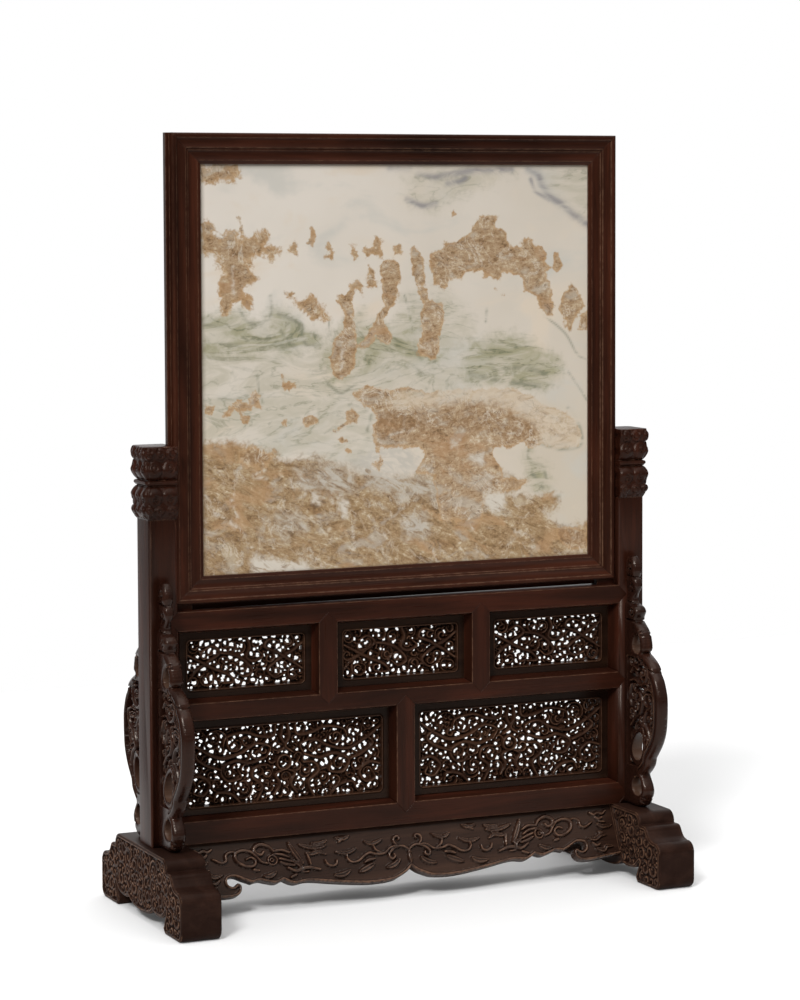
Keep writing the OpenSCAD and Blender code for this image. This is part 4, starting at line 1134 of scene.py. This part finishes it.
def bracket_board(seed):
    """Pierced bracket, alike on both faces, with its reach to the right, and its rim."""
    half, rim_r, rim_w, web = 6.75, 4.4, 6.2, 2.2
    ring_w, ring_h, ring_r = 4.2, 5.9, 2.0
    groove, eased, ease_w, reach = 1.8, 1.2, 2.5, 12
    # Sunk field: its lower and upper end, and its distance from the post
    low, high, inner = 40, 146, 5.5
    edge = np.vstack([spline(np.array(c) * BRACKET_SIZE, 1.2, True) for c in BRACKET_EDGE])
    p = Plate(*grid((0, 0), BRACKET_SIZE, 0.7))
    rng = np.random.default_rng(seed)
    free = p.distance(np.vstack([edge, [(-30, edge[-1][1]), (-30, 0)]]))
    h = half - rounded(free, rim_r)
    # Belly: rim with a groove and a thin inner line, and a pierced field of scrolls
    field = np.minimum(np.minimum(free - rim_w - 2.0, p.U - inner),
                       np.minimum(p.V - low, high - p.V))
    belly = field > 0
    lined = (p.V > low - 4) & (p.V < high + 3) & (p.U > 10)
    h -= 1.5 * np.exp(-(((free - rim_w) / 0.8) ** 2)) * lined
    p.solid = np.where(belly, -field, FAR)
    p.front = np.where(belly, -FAR, h)
    drop, _ = bracket_drop(p.U, p.V)
    ring = belly & (drop > -ring_w)
    p.solid = np.where(ring, np.maximum(p.solid, drop + ring_w), p.solid)
    raised = ring_h - rounded(drop + ring_w, ring_r)
    p.front = np.where(ring, np.maximum(p.front, raised), p.front)
    p.back = -p.front
    for k, s in enumerate(BRACKET_STEMS):
        p.stem(line(s, 2.5, 1.7), 0, 5.2 if k % 2 else 5.9, reach)
    for gap in p.gaps(p.solid, belly, 2.6, 120):
        path = p.hook(p.solid, gap, rng, (1.7, 2.1), (0.45, 0.8), 0.6, 0.45)
        p.stem(path, 0, rng.uniform(4.0, 5.4), reach)
    loose = belly & ~p.joined(~belly, p.solid > 0)
    p.solid = np.where(loose, np.minimum(p.solid, -0.4), p.solid)
    p.solid = np.minimum(p.solid, -drop)
    for path in [spiral(*eye) for eye in BRACKET_EYES] + [line(*cut) for cut in BRACKET_LINES]:
        p.groove(p.front, path, groove)
    p.solid = np.minimum(p.solid, np.minimum(free, p.U + 0.2))
    hole = drop > -ease_w
    soft = np.where(hole, half - eased, np.where(belly, web, half - rounded(free, rim_r)))
    p.front = np.where(hole, p.front - eased * np.exp(-np.clip(-drop, 0, None)), p.front)
    # The finger at the top is thinner than the rest, in two joints
    slim = np.interp(p.V, *np.transpose(BRACKET_FINGER))
    p.front, soft = p.front * slim, np.minimum(soft, half) * slim
    p.back = -p.front
    return p, (soft, -soft)


def brackets(side, sx, seed, finish):
    p, rim = bracket_board(seed)
    for end, sy in (("front", -1), ("back", 1)):
        node = end + "_" + side + "_bracket"

        def place(u, v, w):
            return sx * (POST_X + w), sy * (POST_HALF_D + u), FOOT_H + v

        piece = p.build(node + "_carved", place, flip=sx * sy < 0, rim=rim)
        # Bare wood on the walls of the openings, with painted light that makes it palest at their
        # lower ends
        _, y, z = points_of(piece)
        drop, high = bracket_drop(sy * y - POST_HALF_D, z - FOOT_H)
        bare_and_lit = np.interp(high, (-0.9, 0.0, 0.8), (1.0, 0.5, 0.0))
        keep(piece, "raw_and_lit", np.clip((drop + 0.35) / 0.2, 0, 1) * bare_and_lit)
        stands_for(piece, node, "stand", "carved_hardwood", finish)


# Feet

# Larger scrolls of a foot's side: middle, radius, start and turns; each stands on both halves
FOOT_SCROLLS = [
    ((0, 34), 9.0, 90, 1.3), ((17, 46), 7.0, 200, -1.2), ((19, 26), 7.0, 160, 1.2),
    ((35, 38), 8.0, 250, -1.3), ((37, 21), 5.5, 90, 1.1), ((52, 49), 7.0, 180, 1.2),
    ((52, 28), 7.5, 60, -1.2), ((68, 42), 6.5, 200, 1.1), ((72, 30), 6.0, 120, -1.2),
    ((87, 34), 7.0, 210, 1.2), ((79, 17), 7.0, 100, -1.2), ((95, 18), 7.0, 190, 1.2),
    ((82, 6.5), 4.0, 200, 1.0),
]


def foot_outline():
    bead = arc((77.15, 50.55), 6.15, 20, 90)
    start = np.array([95.0, 44.4])
    half = np.vstack([
        spline([(0, 7), (14.72, 8), (25.6, 10.5), (32, 14)], 1.5, True),
        spline([(32, 14), (40.64, 12), (48.96, 12), (59.2, 14), (68, 21)], 1.5, True),
        spline([(68, 21), (63, 10), (60.5, 5), (64, 0)], 1.5, True),
        arc((99, 9), 9, -90, 0),
        arc((98, 34.4), 10, 0, 90),
        spline([start, start * 0.55 + bead[0] * 0.45 - 1.5, bead[0]], 1.0, True),
        bead,
        [(69.5, 56.7)],
        arc((59.42, 57.82), 10.08, 0, 90),
    ])
    return np.vstack([half, mirrored(half)[::-1]])


def carve_scrolls(p, wood, mask, seed):
    """Heights from 0 to 1 of the scrolls on a foot's side, and of hooks into each gap."""
    rng = np.random.default_rng(seed)
    relief = np.zeros(p.U.shape)

    def add(path, height):
        p.ridge(relief, path, height)
        for u, v, r in path:
            w, d = p.near(u, v, r + 6.0)
            np.maximum(wood[w], r - d, out=wood[w])

    for c, r, start, turns in FOOT_SCROLLS:
        path = spiral(c, r, 2.2, start, 0.8 * turns, 2.1, 1.5)
        for way in (np.asarray, mirrored) if c[0] else (np.asarray,):
            add(way(path), 1.0)
    narrow, roomy, half = 2.1, 2.2, (1.5, 1.9)
    for gap in p.gaps(wood, mask, narrow):
        turns = (0.55, 0.95) if gap[2] > roomy else (0.1, 0.35)
        add(p.hook(wood, gap, rng, half, turns, 0.4, 0.4), rng.uniform(0.7, 1.0))
    return relief


def foot_board():
    """Foot with scroll relief on both sides, inside a plain border, and its rim."""
    sunk, border, round_r = 2.3, 3.2, 2.0
    pit, pit_half, pit_room, pits_most = 1.3, (1.1, 1.6), 2.2, 60
    meet, meet_w = 9.3, 3.4
    p = Plate(*grid((-FOOT_HALF_L, 0), (FOOT_HALF_L, FOOT_H), 0.62))
    d = p.distance(foot_outline())
    faces = []
    for inner in (False, True):
        field = d - border
        if inner:
            # The aprons meet the inner side along two leaning lines
            run = np.abs(p.V - FOOT_H) * math.tan(APRON_LEAN) + meet
            field = np.minimum(field, (np.abs(p.U) - run - meet_w) * math.cos(APRON_LEAN))
        wood = -field
        relief = carve_scrolls(p, wood, field > 0, 31 + inner)
        pits = np.zeros(p.U.shape)
        rng = np.random.default_rng(5)
        for u, v, _ in p.gaps(wood, field > 0.8, 0.35, pits_most):
            w, near = p.near(u, v, pit_room + 0.4)
            wood[w] = np.maximum(wood[w], pit_room - near)
            p.ridge(pits, [(u, v, rng.uniform(*pit_half))], pit)
        sink = np.clip(field / 0.9, 0, 1) + 0.25 * np.exp(-(((field + 2.0) / 0.5) ** 2))
        face = FOOT_HALF_W - rounded(d, round_r) - sunk * sink * (1 - 0.93 * relief) - pits * sink
        if inner:
            strip = np.exp(-(((np.abs(p.U) - run - 1.0) / 0.6) ** 2)) * (d > 3)
            face = face - 0.9 * strip
        faces.append(face)
    p.solid = d
    p.front, p.back = faces[0], -faces[1]
    flat = np.full(p.U.shape, FOOT_HALF_W - round_r)
    return p, (flat, -flat)


def foot(side, sx, board, finish):
    def place(u, v, w):
        return sx * (POST_X + w), np.clip(u, -FOOT_HALF_L, FOOT_HALF_L), np.clip(v, 0, None)

    p, rim = board
    piece = p.build(side + "_foot_carved", place, flip=sx < 0, rim=rim)
    stands_for(piece, side + "_foot", "stand", "carved_hardwood", finish)


# Aprons between the feet

# Right half of the shaped edge: distance from the middle, and share of the drop
APRON_EDGE = [
    [(0, 0.78), (5, 0.86), (12, 0.925), (22, 0.985), (45, 1), (76, 0.935), (105, 0.855),
     (120, 0.875), (130.5, 0.79)],
    [(130.5, 0.79), (138, 0.835), (147, 0.80), (154, 0.765), (161.5, 0.79)],
    [(161.5, 0.79), (170, 0.72), (178, 0.655), (185, 0.68), (185.5, 0.77), (181, 0.82),
     (176, 0.765)],
    [(176, 0.765), (172.8, 0.80), (172.8, 0.89), (177, 0.975), (187, 1), (205, 0.975)],
]
# Strokes of the right half: distance from the middle and down the slope, half width and height.
# Most of their points were read off and turned into mm as the stone's were, and some were moved.
APRON_STROKES = [
    ([(0.0, 39), (0.6, 33), (-0.4, 28.6)], 1.3, 1.2),
    ([(-1.1, 29.1), (1.7, 24.9), (7.5, 22.2), (14.4, 23.5), (19.7, 27.4), (21.1, 31.2),
     (18.5, 33.6), (15.6, 31.6), (16.2, 29.4)], 1.25, 1.3),
    ([(10.0, 22.4), (18.5, 22.8), (25.6, 27.5), (34.4, 27.7), (41.1, 25.9), (47.1, 28.4),
     (53.5, 32.4), (60.3, 32.8), (64.2, 29.0), (63.9, 24.0)], 1.2, 1.4),
    ([(11.3, 21.8), (14.3, 18.0), (13.5, 13.9), (9.9, 12.7), (8.0, 14.6), (9.6, 16.2)], 1.1, 1.3),
    ([(27.7, 27.4), (33.9, 23.8), (36.2, 18.0)], 1.1, 1.3),
    ([(26.0, 13.8), (31.9, 16.3), (38.1, 17.2), (44.2, 14.6)], 1.4, 1.4),
    ([(53.6, 20.2), (60.3, 23.0), (66.7, 23.6), (74.4, 22.0)], 1.4, 1.4),
    ([(75.0, 29.4), (76.0, 33.0), (79.7, 34.6), (84.7, 32.7), (86.6, 28.6)], 1.2, 1.3),
    ([(11.2, 34.6), (17.2, 39.2), (25.4, 41.4)], 1.7, 1.3),
    ([(38.0, 36.4), (45.0, 39.6), (53.6, 42.8)], 1.8, 1.3),
    ([(63.4, 40.4), (70.5, 43.5), (79.2, 43.6)], 1.8, 1.3),
    ([(36.4, 31.8), (42.3, 32.4), (46.8, 34.2)], 1.3, 1.2),
    ([(59.0, 8.0), (65.5, 10.0), (72.8, 8.8)], 1.4, 1.2),
    ([(65.5, 10.0), (70.0, 13.0)], 1.1, 1.1),
    ([(82.0, 10.2), (89.4, 12.2), (97.4, 11.4)], 1.4, 1.3),
    ([(83.6, 14.6), (90.3, 15.8), (100.3, 14.7), (110.0, 11.6)], 1.5, 1.3),
    ([(85.2, 23.0), (91.0, 20.1), (98.9, 21.3), (104.2, 20.6)], 1.4, 1.4),
    ([(103.5, 21.5), (102.2, 26.8), (101.6, 31.4)], 1.3, 1.3),
    ([(120.2, 8.8), (117.2, 16.2), (113.2, 23.4), (109.2, 29.2)], 1.7, 1.5),
    ([(120.9, 18.1), (128.2, 15.0), (137.0, 15.2)], 1.2, 1.3),
    ([(121.5, 22.6), (128.9, 19.1), (137.0, 18.0)], 1.1, 1.1),
    ([(119.0, 26.9), (126.1, 24.5), (132.0, 22.6)], 1.2, 1.2),
    ([(117.6, 30.6), (125.1, 28.9), (131.4, 26.2)], 1.3, 1.3),
    ([(93.2, 36.6), (102.6, 34.0), (110.7, 34.3), (117.0, 35.9), (124.6, 32.2)], 1.5, 1.4),
    ([(110.7, 34.3), (113.0, 29.6), (118.0, 27.4)], 1.4, 1.3),
    ([(104.0, 37.6), (109.0, 37.4), (113.0, 35.0)], 0.9, 1.0),
    ([(136.4, 15.6), (140.6, 10.6), (148.5, 8.0), (155.0, 11.0), (154.2, 15.8), (149.1, 17.6),
     (146.4, 15.0)], 1.5, 1.5),
    ([(144.2, 26.2), (150.0, 24.0), (154.4, 18.4), (158.6, 14.2), (166.9, 12.0), (174.0, 14.5),
     (173.6, 21.3), (165.8, 26.8), (158.0, 27.2), (155.4, 22.6), (159.6, 19.4), (164.0, 20.6)],
     1.35, 1.4),
    ([(172.0, 13.4), (179.3, 12.6), (183.7, 15.4), (184.2, 20.0), (189.1, 21.6), (197.0, 17.6)],
     1.2, 1.3),
    ([(153.4, 32.0), (158.4, 30.8)], 1.3, 1.1),
    ([(136.8, 35.0), (142.9, 37.9), (149.4, 37.8)], 1.6, 1.2),
    ([(117.0, 39.2), (123.2, 41.4)], 1.2, 1.1),
    ([(196.8, 8.4), (201.0, 10.6), (205.2, 9.2), (210.0, 10.4), (214.0, 7.8)], 1.3, 1.3),
    ([(202.0, 13.0), (205.4, 15.2), (209.2, 13.8)], 1.3, 1.2),
    ([(202.6, 20.0), (208.9, 22.9), (217.4, 22.2)], 1.5, 1.3),
    ([(205.0, 17.6), (211.0, 18.6)], 1.1, 1.2),
    ([(190.0, 33.0), (197.8, 34.3), (204.0, 31.2), (210.2, 31.0)], 1.5, 1.3),
    ([(193.6, 38.0), (197.6, 40.8), (201.6, 39.6)], 1.3, 1.2),
    ([(202.0, 27.4), (206.6, 28.8)], 1.1, 1.1),
    ([(197.2, 44.2), (204.4, 45.7), (208.0, 42.6), (214.4, 43.0)], 1.5, 1.3),
]
APRON_RINGS = [((138.5, 23.6), 4.4, 1.1), ((139.2, 23.4), 1.6, 0.9)]


def apron_board():
    """Apron with a raised edge and strewn tendrils, leaves and coiled beasts, and its rim."""
    lip_w, lip_h, thick, relief_h, vein = 1.5, 2.0, 8.0, 2.4, 1.1
    past = 260
    p = Plate(*grid((-APRON_END, -APRON_DROP), (APRON_END, 0), 0.69))
    half = np.vstack([spline(c, 1.2, True) for c in APRON_EDGE]
                     + [[(APRON_END, 0.94), (past, 0.94)]])
    half[:, 1] *= -APRON_DROP
    free = p.distance(np.vstack([half, [(past, 40), (-past, 40)], mirrored(half)[::-1]]))
    lip = lip_h * np.sqrt(np.clip(1 - ((free - lip_w) / 1.4) ** 2, 0, None))
    relief = np.zeros(p.U.shape)
    for points, wide, high in APRON_STROKES:
        leaf = wide > 1.35 and len(points) < 5
        points = [(x, -s) for x, s in points]
        path = line(points, (1.9 if leaf else 1.5) * wide, 0.7 if leaf else None)
        for way in (np.asarray, mirrored):
            p.ridge(relief, way(path), relief_h * high)
            if leaf:
                p.groove(relief, way(line(points, 0.8)), vein)
    for (x, s), r, wide in APRON_RINGS:
        path = spiral((x, -s), r, r, 0, 1.0, wide, wide)
        for way in (np.asarray, mirrored):
            p.ridge(relief, way(path), 2.2)
    p.solid = np.minimum(np.minimum(free, APRON_END - np.abs(p.U)), -p.V)
    relief = relief * np.clip((free - lip_w) / 1.5, 0, 1)
    p.front = np.maximum(lip, relief) - rounded(free, 0.8) * 0.6
    p.back = np.full(p.U.shape, -thick)
    return p, (np.full(p.U.shape, -0.2), p.back)


def apron(end, sy, board, finish):
    sin, cos, tan = math.sin(APRON_LEAN), math.cos(APRON_LEAN), math.tan(APRON_LEAN)

    def place(u, v, w):
        s = -v - np.clip(-w, 0, None) * tan * np.clip(1 + v / 6, 0, 1)
        return u, sy * (APRON_Y + sin * s + cos * w), FOOT_H - cos * s + sin * w

    p, rim = board
    piece = p.build(end + "_apron_carved", place, flip=sy > 0, rim=rim)
    stands_for(piece, end + "_apron", "stand", "carved_hardwood", finish)


# Posts with carved capitals

CAP_LOW, CAP_H, CAP_OVER, CAP_BEAD = 367.9, 66.5, 6.0, 5.0
CAP_STEP, CAP_ANGLE = 0.6, math.radians(38)
CAP_LOBES, CAP_CURLS = 7, 9
# Half width and depth of the groove for the screen
GROOVE_HALF, GROOVE_DEEP = 3.3, 3.8
# Side of the capital: height, and share of its overhang
CAP_SIDE = [
    (0, 0.05), (2.5, 0.45), (8.8, 0.95), (16, 0.72), (22.6, 0.98), (28, 0.62), (31.3, 0.24),
    (32.2, 0.42), (33.6, 0.50), (35.0, 0.42), (35.9, 0.26), (39.5, 0.62), (45, 0.98), (51, 0.76),
    (60, 1.0), (64.5, 0.86), (66.5, 0.60),
]


def capital_relief(length):
    """Two tiers of lobes and curls on the unrolled side of a capital, and their height."""
    p = Plate(*grid((0, 0), (length, CAP_H), CAP_STEP))
    cut = np.zeros(p.U.shape)
    deep = 2.0
    for low, way in ((0.0, -1), (CAP_H / 2 + CAP_BEAD / 2, 1)):
        lobes = low + (9.3 if way > 0 else 21.5)
        curls = low + (23.5 if way > 0 else 8.0)
        for k in range(CAP_LOBES):
            m = (k + 0.5) * length / CAP_LOBES
            turns = 1.1 if k % 2 else -1.1
            eye = spiral((m, lobes + way * 2.5), 3.4, 1.0, -90 * way, turns, 0.9, 0.7)
            p.ridge(cut, line([(m, lobes - 2.5), (m, lobes), (m, lobes + 2.5)], 7.1, 6.4), deep)
            p.groove(cut, eye, 1.1)
        for k in range(CAP_CURLS):
            m = (k + 0.5) * length / CAP_CURLS
            hand = 1 if k % 2 else -1
            long = [(m + hand * 4.2, curls + way * 1.0), (m + hand * 4.8, curls + way * 4.6),
                    (m + hand * 3.4, curls + way * 8.0)]
            short = [(m - hand * 1.0, curls + way * 4.2), (m - hand * 0.6, curls + way * 8.0)]
            p.ridge(cut, spiral((m, curls), 4.4, 1.8, 90 * way, hand * 1.1, 1.9, 1.4), deep)
            p.ridge(cut, [(m, curls, 1.6)], deep + 0.3)
            p.ridge(cut, line(long, 1.7), deep - 0.2)
            p.ridge(cut, line(short, 1.6), deep - 0.5)
    return p, cut, deep


def capital():
    """Points and faces of the right capital: two carved tiers with a bead between them."""
    straight = POST_W - POST_R
    outer = 2 * (POST_HALF_D - POST_R)
    turn = (POST_R + 5.5) * np.pi / 2
    length = 2 * straight + outer + 2 * turn
    s = np.linspace(0, length, int(length / CAP_STEP))
    # Distances past the start of each part of the side: corner, outer face, corner, straight back
    a, b = s - straight, s - straight - turn
    c, d = b - outer, b - outer - turn
    angle = np.select([a < 0, b < 0, c < 0, d < 0],
                      [-90, -90 + 90 * a / turn, 0, 90 * c / turn], 90)
    cx, cy = POST_IN + POST_W - POST_R, POST_HALF_D - POST_R
    px = np.where(a < 0, POST_IN + s, np.where(d > 0, cx - d, cx))
    py = np.where(b < 0, -cy, np.where(c < 0, -cy + b, cy))
    nx, ny = np.cos(np.radians(angle)), np.sin(np.radians(angle))
    p, cut, deep = capital_relief(length)
    z = p.v[(p.v > 0.05) & (p.v < CAP_H - 0.05)]
    z = np.concatenate([[0], z, [CAP_H]])
    rows = np.array([np.interp(s, p.u, cut[np.abs(p.v - h).argmin()]) for h in z])
    curve = spline(CAP_SIDE, 0.3)
    out = CAP_OVER * np.clip(np.interp(z, curve[:, 0], curve[:, 1]), 0, 1)
    plain = np.abs(z - CAP_H / 2) < CAP_BEAD / 2
    soft = np.where(plain, 0, np.clip(np.minimum(z, CAP_H - z) / 2.5, 0, 1))
    side = out[:, None] + (np.clip(rows, 0, deep + 0.3) - deep) * soft[:, None]
    side = np.minimum(side, CAP_OVER)
    x = np.where(np.abs(ny) == 1, px, px + nx * (POST_R + side))
    y = py + ny * (POST_R + side)
    groove = [(POST_IN, GROOVE_HALF), (POST_IN + GROOVE_DEEP, GROOVE_HALF),
              (POST_IN + GROOVE_DEEP, -GROOVE_HALF), (POST_IN, -GROOVE_HALF)]
    x, y = (np.hstack([f, np.tile(g, (len(z), 1))]) for f, g in zip((x, y), zip(*groove)))
    wide = x.shape[1]
    points = np.column_stack([x.ravel(), y.ravel(), np.repeat(z + CAP_LOW, wide)])
    i = np.arange(len(z) - 1)[:, None] * wide
    j = np.arange(wide)[None]
    k = (j + 1) % wide
    quads = np.stack([i + j, i + k, i + wide + k, i + wide + j], -1).reshape(-1, 4)
    return points, [quads, j + (len(z) - 1) * wide, j[:, ::-1]]


def post(side, sx, finish):
    """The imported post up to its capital, with the carved capital on it."""
    bm = bmesh.new()
    bm.from_mesh(NODES[side + "_post"].data)
    bmesh.ops.remove_doubles(bm, verts=bm.verts, dist=1e-6)
    cut = bmesh.ops.bisect_plane(
        bm, geom=bm.verts[:] + bm.edges[:] + bm.faces[:], dist=1e-7,
        plane_co=(0, 0, (CAP_LOW - 0.1) * MM), plane_no=(0, 0, 1), clear_outer=True,
    )
    edges = [e for e in cut["geom_cut"] if isinstance(e, bmesh.types.BMEdge)]
    bmesh.ops.triangle_fill(bm, use_beauty=True, edges=edges)
    points, faces = capital()
    verts = [bm.verts.new(q) for q in points * (sx, 1, 1) * MM]
    for group in faces:
        for f in group:
            bm.faces.new([verts[k] for k in (f if sx > 0 else f[::-1])]).material_index = 1
    bmesh.ops.triangulate(bm, faces=[f for f in bm.faces if len(f.verts) > 4])
    mesh = bpy.data.meshes.new(side + "_post_carved")
    bm.to_mesh(mesh)
    bm.free()
    for f in mesh.polygons:
        f.use_smooth = f.material_index == 1
    mesh.set_sharp_from_angle(angle=CAP_ANGLE)
    piece = show(side + "_post_carved", mesh)
    stands_for(piece, side + "_post", "stand", "dark_hardwood", *finish)


def slit_tongue(finish):
    """Strip under the frame, between the blocks that carry it, tapered, with eased lower edges."""
    half, thick, ease, left_h, right_h = 208.6, 3.0, 0.5, 5.8, 4.6

    def section(high):
        side = [(thick - ease, -high), (thick, ease - high), (thick, 0.5)]
        return [(-y, h) for y, h in side[::-1]] + side

    n = len(section(left_h))
    ends = ((-half, left_h), (half, right_h))
    points = np.array([(x, y, FRAME_LOW + h) for x, high in ends for y, h in section(high)])
    sides = np.array([(k, k + n, (k + 1) % n + n, (k + 1) % n) for k in range(n)])
    caps = np.array([list(range(n)), list(range(2 * n - 1, n - 1, -1))])
    piece = make_mesh("frame_bottom_tongue", points * MM, [sides, caps])
    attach(piece, "screen_panel")
    paint(piece, finish)


make_camera()
make_studio()

WOODS = {axis: wood("hardwood_" + axis, axis, PLAIN_STAND) for axis in "xz"}
FRAME_WOODS = {axis: wood("frame_hardwood_" + axis, axis, PLAIN_FRAME) for axis in "xz"}
PANEL_WOOD = wood("panel_hardwood", "x", CARVED_PANEL, True, "Y", 0.1, 0.08)
APRON_WOOD = wood("apron_hardwood", "x", CARVED_APRON, True, "Y", 0.36, 0.08, (0.51, 0.58))
FOOT_WOOD = wood("foot_hardwood", "y", CARVED_FOOT, True, "X", 0.05, 0.24, (0.505, 0.555))
BRACKET_WOOD = wood("bracket_hardwood", "z", CARVED_BRACKET, True, "X", 0.2, 0.08)
CAPITAL_WOOD = wood("capital_hardwood", "z", CARVED_BRACKET, True, None, 0.4, 0.08)
for finish, names in (
    (FRAME_WOODS["x"], ("frame_top_rail", "frame_bottom_rail")),
    (FRAME_WOODS["z"], ("frame_left_stile", "frame_right_stile")),
    (WOODS["x"], ("top_rail", "middle_rail", "bottom_rail", "back_board",
                  "left_rest_block", "right_rest_block")),
    (WOODS["z"], ("upper_left_muntin", "upper_right_muntin", "lower_muntin")),
):
    for n in names:
        paint(NODES[n], finish)

SIDES = (("left", -1), ("right", 1))
stone_slab(stone("figured_marble"))
for panel in PANELS:
    openwork(*panel, PANEL_WOOD)
for k, (side, sx) in enumerate(SIDES):
    brackets(side, sx, 11 + k, BRACKET_WOOD)
FOOT_BOARD = foot_board()
for side, sx in SIDES:
    foot(side, sx, FOOT_BOARD, FOOT_WOOD)
    post(side, sx, (WOODS["z"], CAPITAL_WOOD))
APRON_BOARD = apron_board()
for end, sy in (("front", -1), ("back", 1)):
    apron(end, sy, APRON_BOARD, APRON_WOOD)
slit_tongue(WOODS["x"])

bpy.context.scene.view_settings.view_transform = "Standard"
